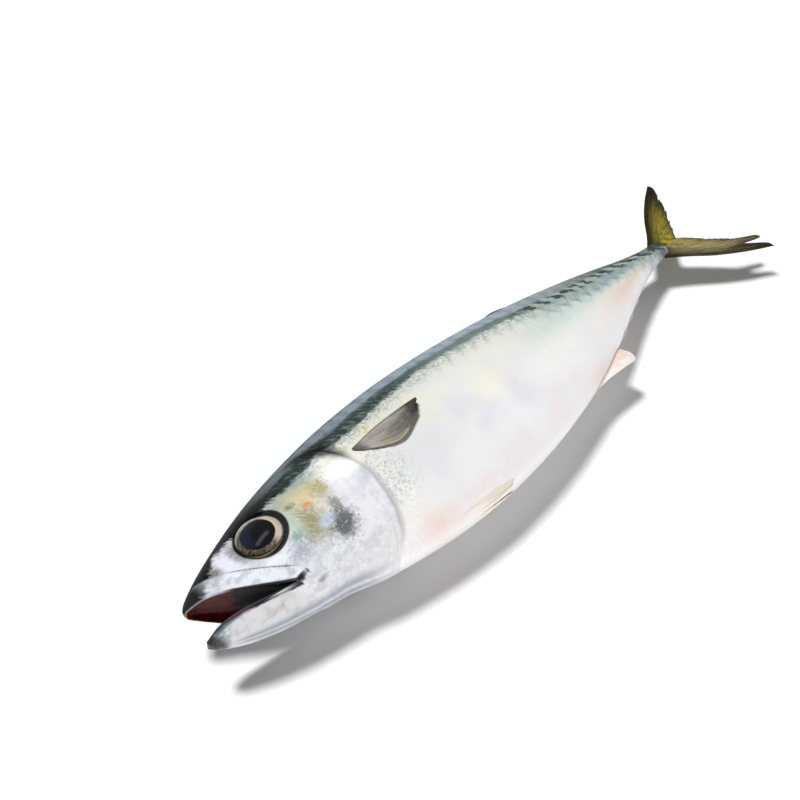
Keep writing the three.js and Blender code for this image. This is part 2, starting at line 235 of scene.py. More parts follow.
class MeshMaker:  # gathers grids of points, welds what meets, and carries named values along
    def __init__(self):
        self.points, self.faces, self.values, self.count = [], [], {}, 0

    def addPoints(self, points, values=None):
        flat = np.asarray(points, float).reshape(-1, 3)
        start = self.count
        self.points.append(flat)
        for name, value in (values or {}).items():
            column = np.broadcast_to(np.asarray(value, float), np.asarray(points).shape[:-1]).reshape(-1)
            self.values.setdefault(name, []).append((start, column))
        self.count += len(flat)
        return np.arange(start, self.count).reshape(np.asarray(points).shape[:-1])

    def grid(self, ids, flip=False):
        a, b, c, d = ids[:-1, :-1], ids[1:, :-1], ids[1:, 1:], ids[:-1, 1:]
        quads = np.stack([a, d, c, b] if flip else [a, b, c, d], -1).reshape(-1, 4)
        self.faces.extend(quads.tolist())

    def fan(self, tip, row, flip=False):
        for a, b in zip(row[:-1], row[1:]):
            self.faces.append([int(tip), int(b), int(a)] if flip else [int(tip), int(a), int(b)])

    def build(self, name, offset=None):
        points = np.concatenate(self.points)
        keys, first, where = np.unique(np.round(points, 4), axis=0, return_index=True, return_inverse=True)
        where = where.reshape(-1)
        welded = []
        for face in self.faces:
            ring = [int(where[i]) for i in face]
            ring = [v for k, v in enumerate(ring) if v != ring[k - 1]]
            if len(ring) > 2 and len(set(ring)) == len(ring):
                welded.append(ring)
        mesh = bpy.data.meshes.new(name)
        placed = (points[first] + (place if offset is None else offset)) * mm
        mesh.from_pydata(placed.tolist(), [], welded)
        for valueName, parts in self.values.items():
            column = np.zeros(len(points))
            for start, values in parts:
                column[start:start + len(values)] = values
            attribute = mesh.attributes.new(valueName, "FLOAT", "POINT")
            attribute.data.foreach_set("value", column[first].astype(np.float32))
        mesh.polygons.foreach_set("use_smooth", [True] * len(mesh.polygons))
        shell = bmesh.new()
        shell.from_mesh(mesh)
        bmesh.ops.recalc_face_normals(shell, faces=shell.faces)
        shell.to_mesh(mesh)
        shell.free()
        mesh.update()
        return addObject(name, mesh)


def finish(piece, material, slot, *nodes):
    piece.data.materials.clear()
    piece.data.materials.append(material)
    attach(piece, "root")
    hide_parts(*nodes)
    return piece


backLine = [  # x, height of the dark band along the back
    [0, 8.0], [4, 8.0], [8, 8.6], [11, 10.4], [14, 12.2], [17, 14.2], [20, 16.2], [24, 16.8], [30, 16.6],
    [36, 16.6], [42, 17.0], [56, 17.0], [64, 16.8], [68, 18.4], [72, 19.0], [78, 18.0], [98, 17.4],
    [120, 17.2], [135, 16.6], [150, 15.2], [165, 13.6], [180, 11.6], [195, 8.5], [210, 6.8], [225, 6.2],
    [240, 6.2], [255, 5.2], [268, 3.5], [278, 1.5], [289, -1.0]]
skinMesh = {"mouthRings": 44, "upper": 104, "lower": 62, "across": 26,
            "headStep": 0.55, "headEnd": 92, "trunkStep": 1.0}


def skinArc(x, start, end, count):
    angle = start[:, None] + (end - start)[:, None] * np.linspace(0, 1, count + 1)[None, :]
    xs = np.broadcast_to(x[:, None], angle.shape)
    y, z = skin(xs, angle)
    return xs, y, z, angle


def skinValues(xs, y, z, angle, lower):
    return {
        "along": xs, "height": y, "around": np.abs(np.where(angle > math.pi, 2 * math.pi - angle, angle)),
        "ahead": gillAhead(xs, y), "eyeGap": eyeGap(xs, y, z), "lower": lower, "inner": 0,
        "belowPlate": maxillaTop(xs) - y, "shade": y - curve(backLine, 1, xs),
        "above": y - lipLine(xs),
    }


def mouthRow(left, right, lift, inward, count):  # from the left lip to the right one, through the mouth
    s = 0.5 - 0.5 * np.cos(np.linspace(0, math.pi, count + 1))
    wall = np.clip(1 - np.abs(2 * s - 1) ** 5, 0, 1) ** 0.8
    width = np.linalg.norm(right - left, axis=-1)
    row = left[:, None, :] + (right - left)[:, None, :] * s[None, :, None]
    row = row + lift[:, None, None] * wall[None, :, None] * np.array([0, 1, 0])
    row = row + inward[:, None, None] * np.sin(math.pi * s)[None, :, None] * np.array([1, 0, 0])
    row[:, 0], row[:, -1] = left, right
    depth = np.minimum(s, 1 - s)[None, :] * width[:, None] + np.abs(lift)[:, None] * wall[None, :]
    depth[:, 0] = depth[:, -1] = 0
    return row, depth


def makeBody():
    maker = MeshMaker()
    cx = mouth["corner"][0]
    n = skinMesh["mouthRings"]
    share = np.linspace(0, 1, n + 1)
    front = 1 + (cx - 1) * share ** 1.25
    front[-1] = cx
    lip = lipAngle(front)
    xs, y, z, angle = skinArc(front, -lip, lip, skinMesh["upper"])
    upperPoints = layDown(xs, y, z)
    upper = maker.addPoints(upperPoints, skinValues(xs, y, z, angle, 0))
    xs, y, z, angle = skinArc(front, lip, 2 * math.pi - lip, skinMesh["lower"])
    ox, oy = openJaw(xs, y, np.ones_like(xs))
    lowerPoints = layDown(ox, oy, z)
    lowerPoints[-1, 0], lowerPoints[-1, -1] = upperPoints[-1, -1], upperPoints[-1, 0]
    lower = maker.addPoints(lowerPoints, skinValues(xs, y, z, angle, 1))
    maker.grid(upper, True)
    maker.grid(lower, True)

    arch = np.sin(math.pi * np.clip(share * 0.94, 0, 1)) ** 0.7
    arch[0] = arch[-1] = 0
    inward = mouth["throat"] * smooth(0, 1, share) ** 3
    across = skinMesh["across"]
    roof, roofDepth = mouthRow(upperPoints[:, -1], upperPoints[:, 0], mouth["roof"] * arch, inward, across)
    floor, floorDepth = mouthRow(
        lowerPoints[:, 0], lowerPoints[:, -1], -mouth["floor"] * arch, inward, across)
    floor[-1] = roof[-1]
    inside = {"along": front[:, None], "height": 0, "around": 1.5, "ahead": 40, "eyeGap": 40,
              "belowPlate": -9, "above": 9, "shade": -20}
    roofInner, floorInner = [depth + share[:, None] * 2 * (depth > 0) for depth in (roofDepth, floorDepth)]
    roofIds = maker.addPoints(roof, {**inside, "inner": roofInner, "lower": 0})
    floorIds = maker.addPoints(floor, {**inside, "inner": floorInner, "lower": 1})
    maker.grid(roofIds, True)
    maker.grid(floorIds, False)

    snout = layDown(np.array([fish["snout"][0]]), np.array([fish["snout"][1]]), np.zeros(1))
    tipX, tipY = openJaw(np.array([mouth["jawTip"][0]]), np.array([mouth["jawTip"][1]]), np.ones(1))
    nose = {"along": 0.5, "height": 9, "around": 1.3, "ahead": 70, "eyeGap": 30, "inner": 0, "belowPlate": -9,
            "above": 1, "shade": -4}
    snoutId = maker.addPoints(snout, {**nose, "lower": 0})[0]
    chinId = maker.addPoints(layDown(tipX, tipY, np.zeros(1)), {**nose, "lower": 1})[0]
    maker.fan(snoutId, upper[0], True)
    maker.fan(snoutId, roofIds[0], True)
    maker.fan(chinId, lower[0], True)
    maker.fan(chinId, floorIds[0], False)

    trunkEnd, level, headEnd = fish["trunkEnd"], fish["stalkLevel"], skinMesh["headEnd"]
    headRows = np.arange(cx, headEnd, skinMesh["headStep"])
    trunkRows = np.arange(headEnd, trunkEnd - 0.4, skinMesh["trunkStep"])
    trunk = np.concatenate([headRows, trunkRows, [trunkEnd]])
    lip = lipAngle(trunk)
    upperArc = skinArc(trunk, -lip, lip, skinMesh["upper"])
    lowerArc = skinArc(trunk, lip, 2 * math.pi - lip, skinMesh["lower"])
    xs, y, z, angle = [np.concatenate([a, b[:, 1:]], 1) for a, b in zip(upperArc, lowerArc)]
    values = skinValues(xs, y, z, angle, 0)
    ox, oy = openJaw(xs, y, np.zeros_like(xs))
    rings = layDown(ox, oy, z, xs, np.where(angle > math.pi, angle - 2 * math.pi, angle))
    rings[:, -1] = rings[:, 0]
    rings[0, :skinMesh["upper"] + 1] = upperPoints[-1]
    rings[0, skinMesh["upper"]:] = lowerPoints[-1]
    stalk, rise = [], planeHeight(trunkEnd)
    middle = np.array([trunkEnd, level, 0])
    flatRing = rings[-1] - np.array([0, 0, 1]) * rise
    for turn in np.linspace(0, 1, 8)[1:-1] * math.pi / 2:
        ring = middle + (flatRing - middle) * np.array([1, math.cos(turn), math.cos(turn)])
        ring[:, 0] = trunkEnd + (fish["stalkEnd"] - trunkEnd) * math.sin(turn)
        ring[:, 2] += rise
        stalk.append(ring)
    for key, value in values.items():  # the stalk's rings carry on what the last ring says
        full = np.broadcast_to(value, xs.shape)
        values[key] = np.concatenate([full, np.repeat(full[-1:], len(stalk), 0)])
    ids = maker.addPoints(np.concatenate([rings, stalk]), values)
    maker.grid(ids, True)
    endValues = {"along": 288, "height": level, "around": 1.5, "ahead": -200, "eyeGap": 200, "lower": 0,
                 "inner": 0, "belowPlate": -9, "above": 0, "shade": 3}
    end = maker.addPoints(np.array([[fish["stalkEnd"], level, rise]]), endValues)[0]
    maker.fan(end, ids[-1], False)
    return maker


place = np.zeros(3)
bodyMaker = makeBody()
allPoints = np.concatenate(bodyMaker.points)
bodyBox = np.array(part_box("body")) / mm
skinBox = np.array([allPoints.min(0), allPoints.max(0)])
# from the fish's own x and y to the frame's: tail end and back meet
place = np.array([*(bodyBox[1] - skinBox[1])[:2], 0.0])
print("fish placed, shift in mm", place.round(3).tolist())
print("skin against box", (skinBox + place - bodyBox).round(2).tolist())


class Value:
    def __init__(self, graph, socket):
        self.graph, self.socket = graph, socket

    def __add__(self, other): return self.graph.maths("ADD", self, other)
    def __radd__(self, other): return self.graph.maths("ADD", other, self)
    def __sub__(self, other): return self.graph.maths("SUBTRACT", self, other)
    def __rsub__(self, other): return self.graph.maths("SUBTRACT", other, self)
    def __mul__(self, other): return self.graph.maths("MULTIPLY", self, other)
    def __rmul__(self, other): return self.graph.maths("MULTIPLY", other, self)
    def __truediv__(self, other): return self.graph.maths("DIVIDE", self, other)
    def __rtruediv__(self, other): return self.graph.maths("DIVIDE", other, self)
    def __pow__(self, other): return self.graph.maths("POWER", self, other)
    def __neg__(self): return self.graph.maths("MULTIPLY", self, -1)


class Graph:
    def __init__(self, name):
        self.material = bpy.data.materials.new(name)
        self.material.use_nodes = True
        self.tree = self.material.node_tree
        self.tree.nodes.clear()
        self.colour = None  # what paint has laid down so far

    def node(self, kind, settings=None, inputs=None, output=0):
        made = self.tree.nodes.new(kind)
        for key, value in (settings or {}).items():
            if key == "stops":
                stops = made.color_ramp.elements
                stops.remove(stops[1])
                stops[0].position, stops[0].color = value[0][0], (*value[0][1], 1)
                for position, colour in value[1:]:
                    stops.new(position).color = (*colour, 1)
            else:
                setattr(made, key, value)
        for key, value in (inputs or {}).items():
            if isinstance(value, Value):
                self.tree.links.new(value.socket, made.inputs[key])
            elif value is not None:
                made.inputs[key].default_value = value
        return Value(self, made.outputs[output]) if len(made.outputs) else None

    def maths(self, operation, *values):
        return self.node("ShaderNodeMath", {"operation": operation}, dict(enumerate(values)))

    def smooth(self, low, high, value):
        return self.node("ShaderNodeMapRange", {"interpolation_type": "SMOOTHSTEP"},
                         {"Value": value, "From Min": low, "From Max": high})

    def bump(self, value, width):
        return self.maths("EXPONENT", -((value / width) ** 2))

    def attribute(self, name):
        return self.node("ShaderNodeAttribute", {"attribute_name": name}, output=2)

    def position(self):
        return self.node("ShaderNodeTexCoord", output=3)

    def noise(self, scale, detail, roughness, vector=None, distortion=0.0):
        return self.node("ShaderNodeTexNoise", {}, {
            "Vector": vector or self.position(), "Scale": scale, "Detail": detail,
            "Roughness": roughness, "Distortion": distortion})

    def cells(self, scale):
        return self.node("ShaderNodeTexVoronoi", {"feature": "SMOOTH_F1"},
                         {"Vector": self.position(), "Scale": scale})

    def vector(self, x, y, z):
        return self.node("ShaderNodeCombineXYZ", {}, {0: x, 1: y, 2: z})

    def mix(self, factor, a, b):
        a, b = [tone if isinstance(tone, Value) else (*linear(tone), 1) for tone in (a, b)]
        settings = {"data_type": "RGBA", "clamp_factor": True}
        return self.node("ShaderNodeMix", settings, {0: factor, 6: a, 7: b}, output=2)

    def paint(self, factor, tone):
        self.colour = self.mix(factor, self.colour, tone)

    def shader(self, **sockets):
        return self.node("ShaderNodeBsdfPrincipled", {}, {k.replace("_", " "): v for k, v in sockets.items()})

    def surface(self, **sockets):
        self.node("ShaderNodeOutputMaterial", {}, {"Surface": self.shader(**sockets)})
        return self.material


skinTones = {
    "flank": [(0.36, "d8dad3"), (0.48, "e9e9e2"), (0.62, "ecebe8"), (0.74, "e8e7e7"), (0.86, "e4e3e5"),
              (0.98, "dcdbde")],
    # tones of the painted reflection on the back, from snout to tail
    "paintedSheen": [(0.0, "3a3f46"), (0.15, "5c6268"), (0.26, "79838b"), (0.42, "8b98a3"), (0.58, "93a0ab"),
              (0.74, "8c9497"), (0.86, "59605b"), (0.93, "3b403c"), (1.0, "222526")],
    "band": "26332f", "bandLight": "5d7673", "deepBack": "24413f", "backBars": "0c1214",
    "lavender": "c6cbdd", "cream": "efe6cd", "blush": "e2cfc6",
    "aqua": "afcbc8", "steel": "a3b7c6", "peach": "d9c1af", "head": "dadadd", "jaw": "cfced1",
    "mouthRed": "74140b", "mouthDeep": "3f0806", "lipBlack": "0c0d0f", "lipSlate": "4b5464",
}

skinMarks = {  # x, y, half width, half height, colour, strength, raggedness
    # painted highlight: bright white at the top of the gill cover
    "coverHighlight": (69.5, 6.5, 9.5, 10.5, "fbfbfa", 0.95, 0.5),
    "coverLilac": (66, -12, 11, 10, "e3e2e8", 0.6, 0.8),
    "cheekGreen": (50.5, 9.5, 12, 6.5, "93a091", 0.85, 0.9),
    "cheekWarm": (52, 2.5, 11, 9, "cfc296", 0.45, 0.9),
    "cheekGold": (54.0, 5.4, 7.0, 5.0, "dcc896", 0.8, 0.9),
    "goldFar": (59.5, 3.4, 3.4, 4.4, "a99c66", 0.8, 1.2),
    "olive": (48.0, -3.8, 5.6, 8.0, "8f8a58", 0.9, 1.1),
    "amber": (51.9, 2.3, 1.9, 1.2, "e48a5c", 0.85, 0.8),
    "darkGreenA": (48.6, 6.6, 2.4, 1.5, "6c7a72", 0.8, 1.2),
    "darkGreenB": (59.2, -5.2, 2.0, 2.8, "5d6a5c", 0.75, 1.5),
    "blotch": (56.3, -12.2, 5.2, 4.9, "35393d", 0.92, 1.15),
    "blotchRim": (52.4, -7.6, 3.4, 2.2, "b6c6dc", 0.7, 0.9),
    "aquaBehindEye": (44.4, 1.6, 2.3, 6.8, "b4cdc0", 0.75, 0.8),
    "greenUnderEye": (41.3, -3.6, 2.4, 2.0, "5f9a7c", 0.7, 0.9),
    # silver band in front of the eye, brightened with a painted highlight
    "preorbitalSilverHighlight": (20.5, 5.0, 5.6, 8.5, "e9eef8", 0.85, 0.5),
    "undereye": (30, -5.4, 8.5, 2.6, "eef2f7", 0.85, 0.5),
    "nostrilPatch": (13.6, 8.8, 3.4, 4.6, "6a6360", 0.92, 0.7),
    "lidGrey": (24.6, 7.8, 3.0, 6.6, "727078", 0.8, 0.5),
    "cheekSilver": (39.5, -8.2, 4.2, 3.6, "9aa3b2", 0.65, 1.7),
    "cornerDark": (33.0, -14.5, 1.9, 1.1, "16181a", 0.95, 0.6),
    "cornerFar": (37.6, -18.8, 2.6, 0.7, "6a6a70", 0.6, 1.0),
    "tailWhite": (273, -2.4, 8, 2.4, "dad7dd", 0.7, 0.6),
    "tailPink": (283.5, -1.4, 4.6, 2.6, "9d5a76", 0.8, 0.9),
    "tailPinkLow": (276, -4.2, 7, 2.4, "dcc4d0", 0.55, 0.9),
}


class SkinGraph(Graph):
    def segment(self, x, y, ends, width):  # a soft line between two places on the skin
        x0, y0, x1, y1 = ends
        length = math.hypot(x1 - x0, y1 - y0)
        ax, ay = (x1 - x0) / length, (y1 - y0) / length
        along = (x - x0) * ax + (y - y0) * ay
        past = self.maths("MAXIMUM", self.maths("MAXIMUM", -along, along - length), 0.0)
        side = (y - y0) * ax - (x - x0) * ay
        return self.bump(self.maths("SQRT", past * past + side * side), width)


def skinFinish():
    g = SkinGraph("fishSkin")
    tones = skinTones
    x, y, around = g.attribute("along"), g.attribute("height"), g.attribute("around")
    ahead, eyeGapHere, lower = g.attribute("ahead"), g.attribute("eyeGap"), g.attribute("lower")
    inner, below, above, shade = [g.attribute(n) for n in ("inner", "belowPlate", "above", "shade")]
    broad, broadTwo = g.noise(48, 2, 0.5), g.noise(70, 2, 0.5, distortion=0.6)
    middle, fine, speck = g.noise(270, 3, 0.6), g.noise(850, 3, 0.6), g.noise(2100, 2, 0.7)
    drift = g.noise(1.0, 3, 0.6, g.vector(x * 0.10, y * 0.55, around * 1.5))  # long streaks down the fish
    combed = g.noise(1.0, 3, 0.65, g.vector(x * 1.1 + y * 0.7, y * 0.22, 3.0))  # short slanting streaks

    ramp = [(p, linear(c)) for p, c in tones["flank"]]
    g.colour = g.node("ShaderNodeValToRGB", {"stops": ramp}, {0: around / math.pi})
    onFlank = g.bump(x - 118, 62) * g.bump(around - 2.05, 0.5)
    g.paint(g.smooth(0.34, 0.80, broad) * onFlank * 0.8, tones["lavender"])
    g.paint(g.smooth(0.38, 0.78, broadTwo) * g.smooth(2.4, 1.5, around) * 0.6, tones["cream"])
    g.paint(g.smooth(0.60, 0.25, broadTwo) * g.smooth(1.9, 2.6, around) * 0.3, tones["blush"])
    rearSide = g.smooth(150, 196, x) * g.smooth(268, 238, x) * g.bump(around - 1.62, 0.27)
    g.paint(rearSide * (0.2 + 0.75 * middle), tones["aqua"])
    g.paint(g.smooth(212, 240, x) * g.smooth(270, 258, x) * g.bump(around - 1.62, 0.16) * 0.7, tones["steel"])
    g.paint(g.bump(x - 246, 26) * g.bump(around - 2.12, 0.30) * 0.7, tones["peach"])
    onBelly = g.bump(x - 104, 26) * g.smooth(2.45, 2.9, around)
    g.paint(onBelly * g.smooth(0.35, 0.6, middle) * 0.55, tones["blush"])
    g.paint(g.bump(x - 96, 26) * g.bump(around - 2.0, 0.55) * (0.35 + 0.5 * broad), "cfd2d4")
    g.paint(g.smooth(0.50, 0.72, fine) * 0.14, "c9ccd2")
    lowPeach = g.bump(x - 190, 9) * g.smooth(2.5, 2.95, around) * 0.4
    lowPeach = lowPeach + g.bump(x - 84, 8) * g.bump(around - 2.75, 0.22) * 0.35
    g.paint(lowPeach * (0.5 + middle), "e0b9a3")

    # behind the gill cover: cream and steel speckles
    nearGill = g.smooth(0.0, -2.0, ahead) * g.smooth(-19, -7, ahead)
    lowGill = nearGill * g.smooth(5, -1, y) * g.smooth(-27, -16, y)
    g.paint(lowGill * g.smooth(0.44, 0.66, fine) * 0.6, "8f9d97")
    g.paint(nearGill * g.smooth(0.42, 0.75, combed + (middle - 0.5) * 0.5) * 0.55, "f6f1da")

    # the head, in front of the gill cover's free edge
    jaw = lower * g.smooth(33.4, 24, x)
    onHead = g.smooth(-0.3, 0.2, ahead) * (1 - jaw)
    headTone = g.mix(g.smooth(0.42, 0.62, middle), tones["head"], "c3c5cf")
    headTone = g.mix(g.smooth(-18, -28, y) * 0.6, headTone, "d9d3d3")
    g.paint(onHead, headTone)
    g.paint(jaw, tones["jaw"])
    g.paint(jaw * g.smooth(0.48, 0.66, middle) * 0.5, "b4adb0")
    wander = (middle - 0.5) * 1.3 + (fine - 0.5) * 1.2 + (speck - 0.5) * 0.5
    for cx, cy, rx, ry, tone, strength, ragged in skinMarks.values():
        dx, dy = (x - cx) / rx, (y - cy) / ry
        far = g.maths("SQRT", dx * dx + dy * dy) + wander * ragged
        factor = g.smooth(1.4, 0.4, far) * strength * (0.72 + 0.5 * fine)
        g.paint(factor if cx > 70 else factor * (1 - lower), tone)
    g.paint(onHead * g.bump(x - 48, 13) * g.bump(y - 4, 12) * g.smooth(0.56, 0.66, fine) * 0.55, "77805f")
    g.paint(g.bump(x - 38, 9) * g.bump(y + 8, 4) * g.smooth(0.55, 0.62, speck) * 0.7, "5d6470")
    # painted glints: white specks over the head
    g.paint(onHead * g.smooth(0.50, 0.74, fine) * 0.3, "ffffff")
    g.paint(onHead * g.smooth(0.48, 0.28, speck) * 0.2, "94969d")
    g.paint(onHead * g.bump(x - 51, 12) * g.bump(y - 2, 9) * g.smooth(0.50, 0.64, combed) * 0.5, "dcdfd3")

    # dark band along the back, its ragged lower side, and above it a blue-grey painted reflection of the
    # bright surroundings
    rear = g.smooth(178, 200, x)
    ragged = shade + (middle - 0.5) * 5.0 + (combed - 0.5) * (6.5 - 3.5 * rear)
    wide = ragged + 3.2 * g.bump(x - 88, 26) + 1.4 * g.smooth(70, 56, x) - 1.7 * g.bump(x - 19, 8)
    bars = g.maths("SINE", x * 0.82 + y * 0.55 + (middle - 0.5) * 9.0 + broad * 6)
    barCut = 1 - rear * g.smooth(0.45, -0.35, bars) * 0.9
    dusting = g.maths("MAXIMUM", g.smooth(0.34, 0.66, fine), rear * 0.75)
    teal = g.smooth(-9.5, -1.0, wide) * dusting * (1 - onHead * g.smooth(60, 50, x))
    gilt = g.bump(x - 84, 24) * g.smooth(-12, -6, wide) * g.smooth(-1, -4, wide) * g.smooth(0.42, 0.6, middle)
    g.paint(gilt * 0.7, "ece2ae")
    g.paint(teal * 0.8, "6b8a87")
    band = g.smooth(-2.6, -0.2, wide) * barCut
    rearSpots = rear * g.smooth(262, 246, x) * g.smooth(0.3, 0.8, bars) * g.bump(wide + 5.5, 2.2)
    g.paint(rearSpots * 0.55, "748a83")
    paler = g.smooth(0.50, 0.66, fine) * (0.12 + 0.7 * g.smooth(84, 150, x))
    bandTone = g.mix(paler, tones["band"], tones["bandLight"])
    bandTone = g.mix(g.smooth(104, 150, x) * g.smooth(192, 172, x) * 0.62, bandTone, "7b8886")
    bandTone = g.mix(rear * 0.55, bandTone, "414d48")
    combing = g.smooth(0.50, 0.64, combed) * g.smooth(38, 52, x) * g.smooth(124, 104, x)
    bandTone = g.mix(combing * 0.5, bandTone, "84958f")
    bandTone = g.mix(g.smooth(66, 38, x + (fine - 0.5) * 20) * 0.95, bandTone, "0a0c0e")
    g.paint(band * 0.985, bandTone)
    # painted reflection: the back above the dark band shines blue-grey at a grazing angle; dark streaks break
    # it on the head
    paintedSheenRamp = [(p, linear(c)) for p, c in tones["paintedSheen"]]
    paintedSheen = g.node("ShaderNodeValToRGB", {"stops": paintedSheenRamp}, {0: x / 289})
    paintedSheen = g.mix(g.smooth(0.55, 0.72, drift) * g.smooth(80, 50, x), paintedSheen, "15181b")
    onBack = g.smooth(1.6, 4.6, shade + (drift - 0.5) * 5 + (middle - 0.5) * 1.5)
    g.paint(onBack * g.smooth(30, 62, x) * 0.92, paintedSheen)
    # painted reflection: pale streaks on the black top of the head
    g.paint(g.smooth(0.5, 4.0, shade) * g.smooth(56, 34, x) * g.smooth(0.62, 0.70, drift) * 0.35, "8c949c")
    deep = g.smooth(0.74, 0.30, around + (middle - 0.5) * 0.3) * g.smooth(40, 80, x)
    g.paint(deep * 0.92, tones["deepBack"])
    ridgeBars = g.maths("SINE", x * 0.84 + around * 4.0 + (middle - 0.5) * 9.0 + broad * 12.0)
    barred = g.smooth(0.66, 0.36, around) * 0.7 + 0.2 * g.smooth(1.0, 2.5, shade)
    g.paint(barred * g.smooth(56, 80, x) * g.smooth(0.0, 0.5, ridgeBars), tones["backBars"])
    wavy = g.maths("SINE", x * 0.86 - y * 0.5 + (middle - 0.5) * 8.0)
    ripples = g.smooth(110, 140, x) * g.smooth(0.55, 0.95, wavy)
    g.paint(ripples * g.smooth(-13, -3, shade) * g.smooth(2, -1, shade) * 0.35, "6f8a84")

    # lines: gill cover, cheek plate, lips
    gillWidth = 1.0 + 1.5 * g.smooth(0, 9, y) + 3.6 * g.smooth(9, 18, y)
    gillDark = g.bump(ahead + 0.45, gillWidth) * g.smooth(-31, -24, y) * g.smooth(26, 22, y)
    g.paint(gillDark * (0.24 + 0.74 * g.smooth(0, 11, y)), "141517")
    # painted shadow: soft shade just behind the gill cover's free edge
    g.paint(g.bump(ahead + 1.2, 1.1) * g.smooth(10, -14, y) * g.smooth(-31, -25, y) * 0.4, "a79f98")
    innerGill = g.bump(ahead - 3.4 - (y + 22) * 0.16, 0.35)
    g.paint(innerGill * g.smooth(-6, -14, y) * g.smooth(-30, -26, y) * 0.2, "96959c")
    plateEdge = g.bump(below, 0.5) * g.smooth(15, 19, x) * g.smooth(35.5, 31.5, x)
    g.paint(plateEdge * (0.35 + 0.9 * g.smooth(0.40, 0.60, speck)), "2f3338")
    plateEnd = g.bump(x + 0.12 * below - 36.2, 0.5) * g.smooth(0.5, 1.6, below) * g.smooth(3.2, 2.0, below)
    g.paint(plateEnd * 0.85, "22252a")
    # silver cheek plate above the mouth, brightened with a painted highlight
    onPlate = g.smooth(0.2, 1.2, below) * g.smooth(36.4, 35.4, x) * g.smooth(-15.2, -14.2, y)
    onPlate = onPlate * g.smooth(6, 14, x) * g.smooth(0.4, 1.2, above) * (1 - lower)
    g.paint(onPlate * 0.8, g.mix(g.smooth(0.45, 0.62, middle), "dfe4ec", "bcc2cc"))
    upperLip = g.smooth(1.0, 0.35, above) * g.smooth(-1.1, -0.3, above) * (1 - lower) * g.smooth(37, 32, x)
    g.paint(upperLip * g.smooth(9, 15, x) * 0.95, tones["lipBlack"])
    g.paint(upperLip * g.smooth(14, 8, x) * 0.7, "8f97a6")
    snoutTip = g.smooth(7.5, 2.5, x + (middle - 0.5) * 6) * (1 - lower)
    g.paint(snoutTip * g.smooth(0.9, 1.8, above) * 0.9, "2a2827")
    under = -above
    lowerLip = lower * g.smooth(2.3, 1.5, under + (middle - 0.5) * 1.2)
    g.paint(lowerLip * g.smooth(12, 17, x) * 0.97, tones["lipBlack"])
    slateLip = lower * g.smooth(2.6, 1.5, under + (fine - 0.5))
    g.paint(slateLip * g.smooth(18, 11, x) * g.smooth(2, 5, x) * 0.85, tones["lipSlate"])
    # painted highlight: pale glossy spot on the black lower lip
    g.paint(lower * g.bump(x - 24.8, 3.4) * g.bump(under - 0.75, 0.62) * 0.92, "ccd2d6")
    g.paint(lower * g.segment(x, y + (middle - 0.5) * 3, (13.0, -7.4, 21.5, -11.6), 0.4) * 0.22, "8d6c50")
    g.paint(lower * g.segment(x + (middle - 0.5) * 3, y, (20.6, -13.4, 22.4, -11.0), 0.4) * 0.22, "96724e")
    g.paint(g.smooth(4.6, 2.2, x + (fine - 0.5) * 3) * lower * 0.92, "3b3331")
    rim = g.bump(around - 3.02, 0.13) * g.smooth(66, 48, x) * g.smooth(3, 9, x)
    g.paint(rim * 0.75, "77808e")
    ring = g.smooth(10.65, 9.95, eyeGapHere - 0.62 * ((x - eye["x"]) - (y - eye["y"])) / 14)
    g.paint(ring * 0.97, "08080a")

    # tail stalk, then the inside of the mouth
    stalkDark = g.smooth(262, 282, x + (middle - 0.5) * 18) * g.smooth(-1.5, 2.5, y + (fine - 0.5) * 3)
    g.paint(stalkDark * g.smooth(0.30, 0.62, middle) * 0.9, "45484a")
    red = g.mix(g.smooth(0.40, 0.65, middle) * 0.7, tones["mouthRed"], tones["mouthDeep"])
    red = g.mix(g.smooth(2.2, 0.6, inner) * (1 - lower), red, "b07a55")
    red = g.mix(g.smooth(14.0, 17.0, x + (middle - 0.5) * 3) * 0.97, red, tones["lipBlack"])
    red = g.mix(g.smooth(2.8, 1.2, inner) * lower, red, "39414e")
    isInner = g.smooth(0.02, 0.3, inner)
    g.paint(isInner, red)

    silver = (1 - band) * (1 - ring) * (1 - isInner) * (1 - g.smooth(1, 4, shade))
    grain = g.cells(950)
    height = fine * 0.35 + speck * 0.2 + grain * 0.5 + middle * 0.5
    relief = g.node("ShaderNodeBump", {}, {"Strength": 0.35, "Distance": 0.00022, "Height": height})
    dark = g.maths("MAXIMUM", band, g.smooth(0, 2, shade))
    roughness = 0.38 + 0.16 * (fine - 0.5) - 0.08 * onHead * (1 - dark) - 0.1 * isInner
    coat = (0.25 + 0.3 * onHead) * (1 - isInner * 0.8)
    wet = g.shader(Base_Color=g.colour, Roughness=roughness, Metallic=silver * 0.1, IOR=1.4,
                   Specular_IOR_Level=0.22, Normal=relief, Coat_Weight=coat, Coat_Roughness=0.16, Coat_IOR=1.4)
    matt = g.shader(Base_Color=g.colour, Roughness=0.6, Specular_IOR_Level=0.04, Normal=relief)
    mixed = g.node("ShaderNodeMixShader", {}, {0: dark * 0.95, 1: wet, 2: matt})
    g.node("ShaderNodeOutputMaterial", {}, {"Surface": mixed})
    return g.material


eyeLook = {"pupil": 6.3, "shift": (-0.45, -0.35), "line": 8.65, "band": 9.3}


